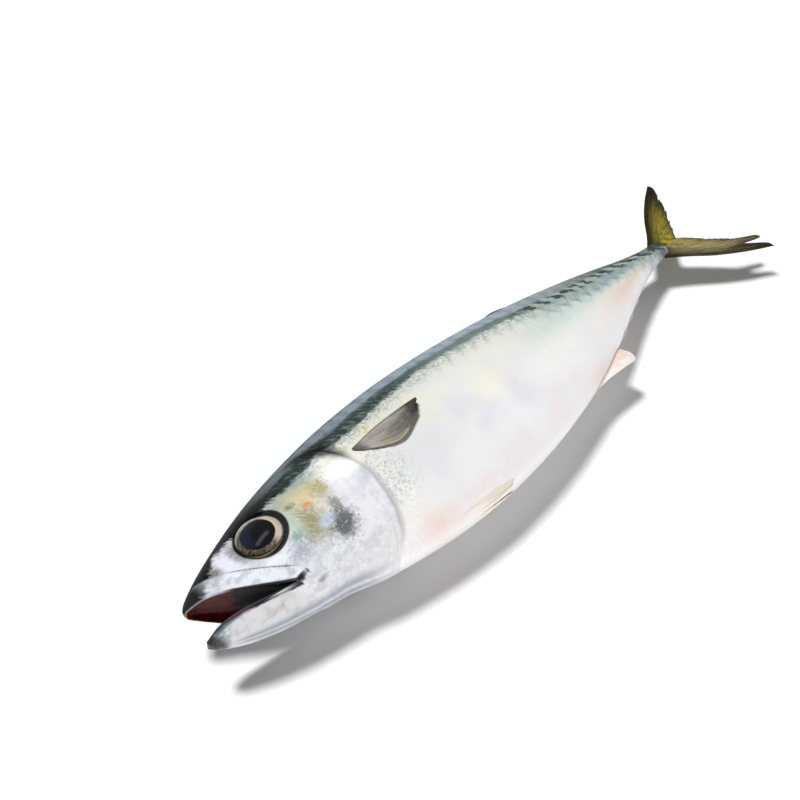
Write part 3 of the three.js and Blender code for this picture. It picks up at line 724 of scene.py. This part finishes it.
def eyeFinish():
    g = Graph("eyeGlass")
    out, tailward, backward = g.attribute("out"), g.attribute("tailward"), g.attribute("backward")
    lean = (tailward - backward) / (g.maths("MAXIMUM", out, 0.5) * 1.414)  # 1 towards the tail and belly
    fine, streaks = g.noise(1500, 3, 0.6), g.noise(420, 4, 0.7, distortion=1.2)
    high = (tailward + backward) / (g.maths("MAXIMUM", out, 0.5) * 1.414)  # 1 towards the tail and back
    dx, dy = tailward - eyeLook["shift"][0], backward - eyeLook["shift"][1]
    pupilOut = g.maths("SQRT", dx * dx + dy * dy) + (streaks - 0.5) * 0.6
    rim = out + (streaks - 0.5) * 0.35
    iris = g.mix(g.smooth(0.3, 0.75, streaks), "15120f", "85796a")
    crescent = g.smooth(-0.15, 0.45, lean) * g.smooth(-0.75, -0.2, high)
    iris = g.mix(crescent, iris, g.mix(streaks, "efe4d2", "b3a18c"))
    olive, stone = g.mix(streaks, "4b4a2c", "b5b06a"), g.mix(streaks, "8f857b", "5d554f")
    band = g.mix(g.smooth(-0.9, -0.2, high), olive, stone)
    band = g.mix(g.smooth(-0.1, -0.6, lean), band, "1a1919")
    pupil = g.mix(g.smooth(0.2, -0.9, lean) * g.smooth(1.0, 4.5, out), "04050a", "171d2c")
    edge = eyeLook["pupil"]
    g.colour = g.mix(g.smooth(edge - 0.2, edge + 0.35, pupilOut), pupil, iris)
    g.paint(g.bump(rim - eyeLook["line"], 0.28) * 0.9, "100d0c")
    g.paint(g.smooth(eyeLook["line"], eyeLook["line"] + 0.3, rim), band)
    g.paint(g.smooth(eyeLook["band"] - 0.2, eyeLook["band"] + 0.25, rim + 0.5 * lean), "050506")
    return g.surface(Base_Color=g.colour, Roughness=0.16, Metallic=g.smooth(6.2, 6.8, out) * 0.2,
                     Coat_Weight=1.0, Coat_Roughness=0.03, Coat_IOR=1.5)


def makeEye(name, side, material):
    rings, turns = 40, 72
    tail = np.array([1.0, 0, 0]) - eyeNormal * eyeNormal[0]
    tail /= np.linalg.norm(tail)
    back = np.cross(eyeNormal, tail)
    back *= np.sign(back[1])
    centre = eyeSeat + eyeNormal * (eye["proud"] - eye["depth"])
    polar = np.linspace(0, math.pi, rings + 1)[:, None]
    turn = np.linspace(0, 2 * math.pi, turns + 1)[None, :]
    flat = eye["radius"] * np.sin(polar)
    u, v = flat * np.cos(turn), flat * np.sin(turn)
    u[:, -1], v[:, -1] = u[:, 0], v[:, 0]
    high = eye["depth"] * np.cos(polar) + np.zeros_like(turn)
    points = centre + u[..., None] * tail + v[..., None] * back + high[..., None] * eyeNormal
    points = points * np.array([1, 1, side])
    points[..., 2] += planeHeight(points[..., 0])
    points[..., 2] = np.maximum(points[..., 2], 0.4)
    maker = MeshMaker()
    ids = maker.addPoints(points, {"out": flat + np.zeros_like(turn), "tailward": u, "backward": v})
    maker.grid(ids, side < 0)
    return finish(maker.build(name), material, "eye", name)


def addSockets(tree, inputs):
    for label, kind in inputs:
        tree.interface.new_socket(label, in_out="INPUT", socket_type="NodeSocket" + kind)
    tree.interface.new_socket("Geometry", in_out="OUTPUT", socket_type="NodeSocketGeometry")


def rayTree():  # guide strands become tapering fin rays, joined to the fin's web
    tree = bpy.data.node_groups.new("finRays", "GeometryNodeTree")
    addSockets(tree, (("Geometry", "Geometry"), ("Web", "Object"), ("Ray Sides", "Int"),
                      ("Finish", "Material")))

    def node(kind, settings=None, **links):
        made = tree.nodes.new(kind)
        for key, value in (settings or {}).items():
            setattr(made, key, value)
        for key, value in links.items():
            socket = made.inputs[key.replace("_", " ")]
            if isinstance(value, bpy.types.NodeSocket):
                tree.links.new(value, socket)
            else:
                socket.default_value = value
        return made

    given = node("NodeGroupInput").outputs
    strands = node("GeometryNodeMeshToCurve", Mesh=given["Geometry"])
    reach = node("GeometryNodeInputNamedAttribute", {"data_type": "FLOAT"}, Name="reach")
    sized = node("GeometryNodeSetCurveRadius", Curve=strands.outputs["Curve"],
                 Radius=reach.outputs["Attribute"])
    ring = node("GeometryNodeCurvePrimitiveCircle", Radius=1.0, Resolution=given["Ray Sides"])
    tubes = node("GeometryNodeCurveToMesh", Curve=sized.outputs["Curve"], Profile_Curve=ring.outputs["Curve"],
                 Scale=reach.outputs["Attribute"], Fill_Caps=True)
    marked = node("GeometryNodeStoreNamedAttribute", {"data_type": "FLOAT", "domain": "POINT"},
                  Geometry=tubes.outputs["Mesh"], Name="ray", Value=1.0)
    web = node("GeometryNodeObjectInfo", Object=given["Web"])
    joined = node("GeometryNodeJoinGeometry")
    tree.links.new(marked.outputs[0], joined.inputs[0])
    tree.links.new(web.outputs["Geometry"], joined.inputs[0])
    plain = node("GeometryNodeRealizeInstances", Geometry=joined.outputs[0])
    painted = node("GeometryNodeSetMaterial", Geometry=plain.outputs[0], Material=given["Finish"])
    out = node("NodeGroupOutput")
    tree.links.new(painted.outputs[0], out.inputs[0])
    return tree


# runs a node tree on an object and keeps the result as a plain mesh
def fromNodes(holder, tree, inputs, name):
    modifier = holder.modifiers.new(tree.name, "NODES")
    modifier.node_group = tree
    for item in tree.interface.items_tree:
        if item.in_out == "INPUT" and item.name in inputs:
            modifier[item.identifier] = inputs[item.name]
    bpy.context.view_layer.update()
    ready = holder.evaluated_get(bpy.context.evaluated_depsgraph_get())
    mesh = bpy.data.meshes.new_from_object(ready)
    holder.modifiers.clear()
    mesh.name = name
    mesh.polygons.foreach_set("use_smooth", [True] * len(mesh.polygons))
    return addObject(name, mesh)


def blade(maker, middle, normal, thick, values):  # a thin closed web either side of a middle surface
    front = maker.addPoints(middle + normal * (thick / 2)[..., None], values)
    back = maker.addPoints(middle - normal * (thick / 2)[..., None], values)
    maker.grid(front)
    maker.grid(back, True)
    loops = [(front[0, ::-1], back[0, ::-1]), (front[-1], back[-1]),
             (front[:, 0], back[:, 0]), (front[::-1, -1], back[::-1, -1])]
    for a, b in loops:
        for i in range(len(a) - 1):
            maker.faces.append([int(a[i]), int(a[i + 1]), int(b[i + 1]), int(b[i])])


finShapes = {
    "pectoral": {
        "lead": [[0, 79, 1.4], [0.35, 89, 1.39], [0.7, 101, 1.42], [1, 112, 1.47]],
        "trail": [[0, 81.5, 1.5], [0.35, 87, 1.64], [0.7, 95, 1.72], [1, 107.5, 1.6]],
        "lift": (0.75, 2.7), "tilt": 0, "thick": 0.62, "edge": 0.16, "rays": 19},
    "pelvic": {
        "lead": [[0, 93, 2.88], [0.4, 102, 2.84], [0.75, 112, 2.88], [1, 122, 2.97]],
        "trail": [[0, 95, 3.04], [0.4, 102, 3.085], [0.75, 110, 3.095], [1, 120, 3.05]],
        "lift": (-0.3, 0.6), "tilt": 0.8, "thick": 0.4, "edge": 0.16, "rays": 9},
}
ridgeFins = {  # root start and end, outer edge as x and height off the back or belly
    "first_dorsal_fin": {"root": (98, 140),
                         "edge": [[98, 0.4], [104, 3.2], [118, 2.7], [134, 1.7], [146, 0.7]],
                         "side": 1, "rays": 11, "thick": 0.9},
    "second_dorsal_fin": {"root": (183, 209), "edge": [[183, 0.4], [190, 4], [197, 4.4], [205, 2.6], [213, 1]],
                          "side": 1, "rays": 14, "thick": 0.9},
    "anal_fin": {"root": (186, 212),
                 "edge": [[186, 0.4], [196, 2.6], [206, 6.2], [213, 8.8], [214.6, 6], [213.6, 1.4]],
                 "side": -1, "rays": 14, "thick": 2.6},
}
ridgeEdge = 0.3  # thickness of these fins at their rims
finletRow = {
    "edge": [[0, 0.3], [2.5, 2.2], [5.6, 3.3], [7.6, 3.0], [6.4, 1.3], [4.8, 0.4]], "root": 4.6,
    "dorsal": (216, 11.4), "anal": (219, 11.0), "shrink": 0.08, "thick": 0.5, "folded": {1: 0.42, -1: 0.22},
}
tailFin = {
    "root": [[283, 3.4], [290.5, -0.25]],
    "lead": [[0, 283, 4.4], [0.2, 291, 9.6], [0.48, 303, 18.4], [0.74, 315, 25.6], [1, 327, 31.4]],
    "trail": [[0, 327, 31.4], [0.08, 327, 28.6], [0.3, 322, 21.5], [0.62, 313.5, 12.0], [0.86, 305.5, 4.6],
              [1, 300, -0.25]],
    "middle": 2.8, "open": {1: 1.05, -1: 1.2}, "thick": 1.15, "edge": 0.3, "rays": 24,
}


def alongLine(table, share):  # evenly spread over a line of points, by its length
    rows = np.asarray(table, float)
    steps = np.linalg.norm(np.diff(rows, axis=0), axis=1)
    reach = np.concatenate([[0], np.cumsum(steps)]) / steps.sum()
    dense = np.linspace(0, 1, 400)
    keyed = np.concatenate([reach[:, None], rows], 1)
    fineRows = np.stack([curve(keyed, c + 1, dense) for c in range(rows.shape[1])], -1)
    return np.stack([np.interp(share, dense, fineRows[:, c]) for c in range(rows.shape[1])], -1)


def normals(middle):
    du, dv = np.gradient(middle, axis=0), np.gradient(middle, axis=1)
    n = np.cross(du, dv)
    return n / np.maximum(np.linalg.norm(n, axis=-1, keepdims=True), 1e-9)


def strandMesh(name, middle, thick, shares):  # guide strands at these shares across the web
    count = middle.shape[1] - 1
    points, edges, columns = [], [], {"reach": [], "out": [], "across": []}
    for share in shares:
        at = share * count
        i = min(int(at), count - 1)
        f = at - i
        line = middle[:, i] * (1 - f) + middle[:, i + 1] * f
        half = (thick[:, i] * (1 - f) + thick[:, i + 1] * f) / 2
        start = len(points)
        points.extend(line.tolist())
        edges.extend([(start + k, start + k + 1) for k in range(len(line) - 1)])
        columns["reach"].extend((half + 0.055).tolist())
        columns["out"].extend(np.linspace(0, 1, len(line)).tolist())
        columns["across"].extend([share] * len(line))
    mesh = bpy.data.meshes.new(name)
    mesh.from_pydata(((np.array(points) + place) * mm).tolist(), edges, [])
    for key, column in columns.items():
        numbers = np.array(column, np.float32) * (mm if key == "reach" else 1)
        mesh.attributes.new(key, "FLOAT", "POINT").data.foreach_set("value", numbers)
    return addObject(name, mesh)


def makeFin(name, middle, thick, rays, material, slot):
    nu, ns = middle.shape[:2]
    u = np.linspace(0, 1, nu)[:, None] + np.zeros((1, ns))
    s = np.zeros((nu, 1)) + np.linspace(0, 1, ns)[None, :]
    maker = MeshMaker()
    blade(maker, middle, normals(middle), thick, {"out": u, "across": s, "ray": 0})
    web = maker.build(name + "_web")
    shares = (np.arange(rays) + 0.5) / rays
    shares = np.concatenate([[0.012], shares, [0.985]])
    trimmed = middle[: max(int(nu * 0.97), 3)]
    strands = strandMesh(name + "_strands", trimmed, thick[: len(trimmed)], shares)
    piece = fromNodes(strands, finTree, {"Web": web, "Ray Sides": 6, "Finish": material}, name)
    for spare in (web, strands):
        bpy.data.objects.remove(spare)
    return finish(piece, material, slot, name)


def bladeThickness(nu, ns, thick, edge):
    u = np.linspace(0, 1, nu)[:, None]
    s = np.linspace(0, 1, ns)[None, :]
    body = edge + (thick - edge) * (1 - u) ** 1.2
    return body * (0.35 + 0.65 * smooth(0, 0.05, s) * smooth(1, 0.93, s)) * (0.4 + 0.6 * smooth(1, 0.93, u))


def sideFin(shape, side, nu=48, ns=64):  # pectoral or pelvic fin, lying on the flank
    u = np.linspace(0, 1, nu)[:, None]
    s = np.linspace(0, 1, ns)[None, :]
    lead = [curve(shape["lead"], c, u) for c in (1, 2)]
    trail = [curve(shape["trail"], c, u) for c in (1, 2)]
    x, angle = [a * (1 - s) + b * s for a, b in zip(lead, trail)]
    fringe = 0.9 * np.sin(s * math.pi * 9.5) * np.sin(s * math.pi * 4.3 + 1) * smooth(0.9, 1, u)
    x = x - 0.5 * smooth(0.92, 1, u) * (1 + fringe)
    low, high = shape["lift"]
    lift = low + (high - low) * u ** 1.6 * (1 - shape["tilt"] * (1 - s)) + 0.12 * np.sin(s * math.pi * 2)
    if side > 0 or shape is finShapes["pelvic"]:
        point, _ = offSkin(x, angle, lift, side)
        point[..., 2] += planeHeight(point[..., 0])
        point[..., 2] = np.maximum(point[..., 2], 0.5)
        return point
    y, _ = plainSkin(x, angle)
    return np.stack([x, y, 0.47 + 0 * y], -1)


def ridgeFin(shape, nu=20, ns=56):
    s = np.linspace(0, 1, ns)
    rootX = shape["root"][0] + (shape["root"][1] - shape["root"][0]) * s
    outer = alongLine(shape["edge"], s)
    column = 1 if shape["side"] > 0 else 2
    rootY = curve(fish["sections"], column, rootX) - shape["side"] * 1.0
    outerY = curve(fish["sections"], column, outer[:, 0]) + shape["side"] * outer[:, 1]
    u = np.linspace(0, 1, nu)[:, None]
    x = rootX * (1 - u) + outer[:, 0] * u
    y = rootY * (1 - u) + outerY * u
    return np.stack([x, y, planeHeight(x)], -1)


def tailLobe(side, nu=64, ns=120):
    u = np.linspace(0, 1, nu)[:, None]
    s = np.linspace(0, 1, ns)
    root = alongLine(tailFin["root"], s)
    end = np.stack([curve(tailFin["trail"], c, s) for c in (1, 2)], -1)
    rng = np.random.default_rng(11 + side)
    nicks = np.interp(s, np.linspace(0, 1, 34), rng.random(34)) ** 2
    if side > 0:
        torn = 0.085 * nicks * smooth(0.12, 0.3, s) * smooth(1, 0.9, s)
    else:
        split = 0.16 * bump(s - 0.16, 0.045) + 0.02
        torn = split * smooth(0.04, 0.12, s) + 0.07 * nicks * smooth(0.2, 0.4, s) * smooth(1, 0.9, s)
        end[:, 0] += 9.0 * bump(s - 0.30, 0.10)
        end[:, 1] += 2.2 * bump(s - 0.30, 0.10)
    end = end - (end - root) * torn[:, None]
    straight = root[None] * (1 - u[..., None]) + end[None] * u[..., None]
    lead = np.stack([curve(tailFin["lead"], c, u[:, 0]) for c in (1, 2)], -1)
    chord = lead[0] * (1 - u) + lead[-1] * u
    bow = (lead - chord)[:, None, :] * ((1 - s) ** 1.4)[None, :, None]
    first = np.array([0, lead[0][1] - root[0][1]]) * (1 - u)[..., None] * ((1 - s) ** 6)[None, :, None]
    flat = straight + bow + first
    x = flat[..., 0]
    y = tailFin["middle"] + side * (flat[..., 1] * tailFin["open"][side])
    z = planeHeight(x) + 0.25 * np.sin(s * math.pi * 5)[None, :] * smooth(0.3, 1, u)
    return np.stack([x, y, z], -1)


finLooks = {
    "pectoral": {"web": "6f6a67", "ray": "b9b4ad", "dark": "1e1a19", "warm": "a98f60", "edgeDark": 0.35,
                 "tipDark": 0.85, "baseDark": 0.7, "alpha": 0.96, "fade": 0.7, "rearDark": 0.85},
    "pelvic": {"web": "dbd2c1", "ray": "e2dacc", "dark": "cfc4b3", "warm": "d8bfa6", "edgeDark": 0.0,
               "tipDark": 0.0, "baseDark": 0.0, "alpha": 0.98, "fade": 0.85},
    "anal": {"web": "e6e2df", "ray": "ece9e6", "dark": "d2ccc7", "warm": "e0bda6", "baseWarm": 0.45,
             "edgeDark": 0.0, "tipDark": 0.0, "baseDark": 0.0, "alpha": 1.0, "fade": 1.0},
    "dorsal": {"web": "5d666a", "ray": "7b858a", "dark": "22282b", "warm": "6a6f60", "edgeDark": 0.6,
               "tipDark": 0.5, "baseDark": 0.3, "alpha": 0.98, "fade": 0.8},
    "tail": {"web": "564e16", "ray": "94872f", "dark": "17120b", "warm": "bba62c", "edgeDark": 0.95,
             "tipDark": 0.85, "edgeWide": 0.34, "baseDark": 0.85, "alpha": 0.98, "fade": 0.7, "streak": 0.85},
    "tailLow": {"web": "5c5130", "ray": "ab9f70", "dark": "1b140c", "warm": "b09c33", "edgeDark": 0.85,
                "tipDark": 0.7, "edgeWide": 0.3, "baseDark": 0.8, "alpha": 0.96, "fade": 0.7, "streak": 0.8},
}


def finFinish(name, look):
    g = Graph(name)
    out, across, ray = g.attribute("out"), g.attribute("across"), g.attribute("ray")
    middle, fine = g.noise(330, 3, 0.6), g.noise(1300, 3, 0.6)
    hairs = g.noise(1.0, 2, 0.5, g.vector(across * 95, out * 3.0, 0.0))
    g.colour = g.mix(g.smooth(0.35, 0.62, hairs), look["web"], look["ray"])
    g.paint(g.smooth(0.57, 0.44, hairs) * look.get("streak", 0.5), look["dark"])
    g.paint(g.smooth(0.40, 0.62, middle) * g.smooth(0.25, 0.9, across) * 0.7, look["warm"])
    g.paint(ray * 0.55, look["ray"])
    g.paint(g.smooth(0.7, 0.1, out + (middle - 0.5) * 0.4) * look.get("baseWarm", 0), look["warm"])
    rearPatch = g.smooth(0.25, 0.75, out + (middle - 0.5) * 0.3)
    rearPatch = rearPatch * g.smooth(0.12, 0.5, across) * g.smooth(1.0, 0.72, across)
    g.paint(rearPatch * look.get("rearDark", 0) * (1 - 0.75 * ray), look["dark"])
    edge = g.smooth(look.get("edgeWide", 0.15), 0.02, across + (middle - 0.5) * 0.08)
    g.paint(edge * look["edgeDark"], look["dark"])
    g.paint(g.smooth(0.72, 0.98, out + (middle - 0.5) * 0.35) * look["tipDark"], look["dark"])
    g.paint(g.smooth(0.24, 0.02, out + (middle - 0.5) * 0.12) * look["baseDark"], look["dark"])
    thin = g.smooth(0.55, 1.0, out) * g.smooth(0.25, 0.75, across) * (1 - ray)
    alpha = look["alpha"] - (look["alpha"] - look["fade"]) * thin
    relief = g.node("ShaderNodeBump", {}, {"Strength": 0.4, "Distance": 0.00025, "Height": hairs + fine * 0.4})
    return g.surface(Base_Color=g.colour, Roughness=0.38 + 0.15 * (fine - 0.5), Alpha=alpha, Normal=relief,
                     IOR=1.45, Coat_Weight=0.35, Coat_Roughness=0.2)


def finletTree():  # one finlet set at each marked place along the ridge
    tree = bpy.data.node_groups.new("finletRow", "GeometryNodeTree")
    addSockets(tree, (("Geometry", "Geometry"), ("Finlet", "Object"), ("Finish", "Material")))
    new, link = tree.nodes.new, tree.links.new
    given, out = new("NodeGroupInput").outputs, new("NodeGroupOutput")
    points = new("GeometryNodeMeshToPoints")
    one = new("GeometryNodeObjectInfo")
    one.inputs["As Instance"].default_value = True
    tilt, size = new("GeometryNodeInputNamedAttribute"), new("GeometryNodeInputNamedAttribute")
    tilt.data_type = size.data_type = "FLOAT"
    tilt.inputs["Name"].default_value, size.inputs["Name"].default_value = "tilt", "size"
    turn = new("ShaderNodeCombineXYZ")
    kinds = ("InstanceOnPoints", "RealizeInstances", "SetMaterial")
    spread, plain, painted = [new("GeometryNode" + kind) for kind in kinds]
    link(given["Geometry"], points.inputs["Mesh"])
    link(given["Finlet"], one.inputs["Object"])
    link(tilt.outputs["Attribute"], turn.inputs["Z"])
    link(points.outputs[0], spread.inputs["Points"])
    link(one.outputs["Geometry"], spread.inputs["Instance"])
    link(turn.outputs[0], spread.inputs["Rotation"])
    link(size.outputs["Attribute"], spread.inputs["Scale"])
    link(spread.outputs[0], plain.inputs[0])
    link(plain.outputs[0], painted.inputs["Geometry"])
    link(given["Finish"], painted.inputs["Material"])
    link(painted.outputs[0], out.inputs[0])
    return tree


def finletBlade(side, nu=12, ns=20):  # one finlet at the origin, standing up or hanging down
    s = np.linspace(0, 1, ns)
    outer = alongLine(finletRow["edge"], s) * np.array([1, side * finletRow["folded"][side]])
    root = np.stack([finletRow["root"] * s, np.full(ns, -0.8 * side)], -1)
    u = np.linspace(0, 1, nu)[:, None, None]
    flat = root[None] * (1 - u) + outer[None] * u
    middle = np.concatenate([flat, np.zeros((nu, ns, 1))], -1)
    maker = MeshMaker()
    taper, waist = 0.45 + 0.55 * (1 - u[..., 0]), (0.3 + 0.7 * np.sin(math.pi * s) ** 0.5)[None, :]
    across = np.zeros((nu, 1)) + s[None, :]
    values = {"out": u[..., 0] + 0 * across, "across": across, "ray": 0}
    blade(maker, middle, normals(middle), finletRow["thick"] * taper * waist + 0.08, values)
    return maker.build("finlet", offset=np.zeros(3))


def makeFinlets(name, side, material, tree):
    start, pitch = finletRow["dorsal" if side > 0 else "anal"]
    column = 1 if side > 0 else 2
    x = start + pitch * np.arange(5)
    y = curve(fish["sections"], column, x)
    slope = (curve(fish["sections"], column, x + finletRow["root"]) - y) / finletRow["root"]
    mesh = bpy.data.meshes.new(name + "_places")
    mesh.from_pydata(((np.stack([x, y, planeHeight(x)], -1) + place) * mm).tolist(), [], [])
    for key, column in (("tilt", np.arctan(slope)), ("size", 1 - finletRow["shrink"] * np.arange(5))):
        mesh.attributes.new(key, "FLOAT", "POINT").data.foreach_set("value", column.astype(np.float32))
    holder = addObject(name + "_places", mesh)
    one = finletBlade(side)
    piece = fromNodes(holder, tree, {"Finlet": one, "Finish": material}, name)
    for spare in (holder, one):
        bpy.data.objects.remove(spare)
    label = "dorsal" if side > 0 else "anal"
    return finish(piece, material, "fin", *[f"{label}_finlet_{k}" for k in range(1, 6)])


cameraSet = {"target": (130.5, 27.1, 15.0), "azimuth": -50, "elevation": 45, "roll": 1.763, "distance": 480,
             "lens": 53.44, "sensor": 36}
studio = {"fill": 0.115, "key": 3.45, "keyAngle": math.radians(14), "side": 11.5, "window": 0.45,
          "aim": (0, 0, 0.02), "floor": "f2f2f2", "floorHalf": 9, "floorLevel": -0.0003}


def makeCamera():
    az, el, roll = [math.radians(cameraSet[k]) for k in ("azimuth", "elevation", "roll")]
    right = Vector((math.cos(az), math.sin(az), 0))
    back = (Vector((0, 0, 1)).cross(right) * -math.cos(el) + Vector((0, 0, math.sin(el)))).normalized()
    up = back.cross(right)
    turnedRight = right * math.cos(roll) + up * math.sin(roll)
    turnedUp = up * math.cos(roll) - right * math.sin(roll)
    camera = addObject("camera", bpy.data.cameras.new("camera"))
    camera.data.lens, camera.data.sensor_width = cameraSet["lens"], cameraSet["sensor"]
    camera.data.clip_start = 0.01
    spot = (Vector(cameraSet["target"]) + Vector(place)) * mm + back * cameraSet["distance"] * mm
    turned = Matrix((turnedRight, turnedUp, back)).transposed().to_4x4()
    camera.matrix_world = Matrix.Translation(spot) @ turned
    bpy.context.scene.camera = camera


def softLight(name, spot, size, power, gloss=True, tint=(1, 1, 1)):
    lamp = addObject(name, bpy.data.lights.new(name, "AREA"))
    lamp.data.shape = "RECTANGLE"
    lamp.data.size, lamp.data.size_y = size
    lamp.data.energy, lamp.data.color = power, tint
    lamp.location, lamp.visible_glossy = spot, gloss
    lamp.rotation_euler = (Vector(studio["aim"]) - Vector(spot)).to_track_quat("-Z", "Y").to_euler()


def makeStudio():
    world = bpy.data.worlds.new("studio")
    world.use_nodes = True
    sky, links = world.node_tree.nodes, world.node_tree.links
    sky["Background"].inputs[1].default_value = studio["fill"]
    sky["Background"].inputs[0].default_value = (1, 1, 1, 1)
    kinds = ("Background", "LightPath", "MixShader")
    backdrop, seen, choose = [sky.new("ShaderNode" + kind) for kind in kinds]
    backdrop.inputs[0].default_value = (1, 1, 1, 1)
    links.new(seen.outputs["Is Camera Ray"], choose.inputs[0])
    links.new(sky["Background"].outputs[0], choose.inputs[1])
    links.new(backdrop.outputs[0], choose.inputs[2])
    links.new(choose.outputs[0], sky["World Output"].inputs[0])
    bpy.context.scene.world = world
    key = addObject("keyLight", bpy.data.lights.new("keyLight", "SUN"))
    key.data.energy, key.data.angle = studio["key"], studio["keyAngle"]
    key.location, key.visible_glossy = (-0.12, 0.46, 1.15), False
    key.rotation_euler = (-key.location).to_track_quat("-Z", "Y").to_euler()
    softLight("sideLight", (-0.2, -1.2, 0.17), (1.0, 0.3), studio["side"], gloss=False)
    softLight("windowLight", (-0.1, 0.5, 1.1), (0.9, 0.2), studio["window"], tint=(0.8, 0.88, 1.0))
    g = Graph("paleFloor")
    pale = g.surface(Base_Color=g.mix(g.noise(3.0, 2, 0.5) * 0.1, studio["floor"], "f6f6f6"), Roughness=0.9)
    mesh = bpy.data.meshes.new("floor")
    half, level = studio["floorHalf"], studio["floorLevel"]
    corners = [(x * half, y * half, level) for x, y in ((-1, -1), (1, -1), (1, 1), (-1, 1))]
    mesh.from_pydata(corners, [], [(0, 1, 2, 3)])
    mesh.materials.append(pale)
    floor = addObject("floor", mesh)
    bpy.context.scene.view_settings.view_transform = "Standard"
    bpy.context.scene.view_settings.look = "None"


makeCamera()
makeStudio()
print("camera, lights and floor ready")

body = finish(bodyMaker.build("body_skin"), skinFinish(), "skin", "body")
print("skin done,", len(body.data.polygons), "faces")

glass = eyeFinish()
makeEye("left_eye", 1, glass)
makeEye("right_eye", -1, glass)
print("eyes done")

finTree = rayTree()
finishes = {key: finFinish(key + "Web", look) for key, look in finLooks.items()}
for sideName, side in (("left", 1), ("right", -1)):
    for kind in ("pectoral", "pelvic"):
        shape = finShapes[kind]
        middle = sideFin(shape, side)
        thick = bladeThickness(*middle.shape[:2], shape["thick"], shape["edge"])
        makeFin(f"{sideName}_{kind}_fin", middle, thick, shape["rays"], finishes[kind], "fin")
for name, shape in ridgeFins.items():
    middle = ridgeFin(shape)
    thick = bladeThickness(*middle.shape[:2], shape["thick"], ridgeEdge)
    finKind = "anal" if shape["side"] < 0 else "dorsal"
    makeFin(name, middle, thick, shape["rays"], finishes[finKind], "fin")
print("side and ridge fins done")

rowTree = finletTree()
makeFinlets("dorsal_finlets", 1, finishes["dorsal"], rowTree)
makeFinlets("anal_finlets", -1, finishes["anal"], rowTree)
for name, side in (("caudal_fin_upper_lobe", 1), ("caudal_fin_lower_lobe", -1)):
    middle = tailLobe(side)
    thick = bladeThickness(*middle.shape[:2], tailFin["thick"], tailFin["edge"])
    makeFin(name, middle, thick, tailFin["rays"], finishes["tail" if side > 0 else "tailLow"], "tail_fin")
print("finlets and tail done")
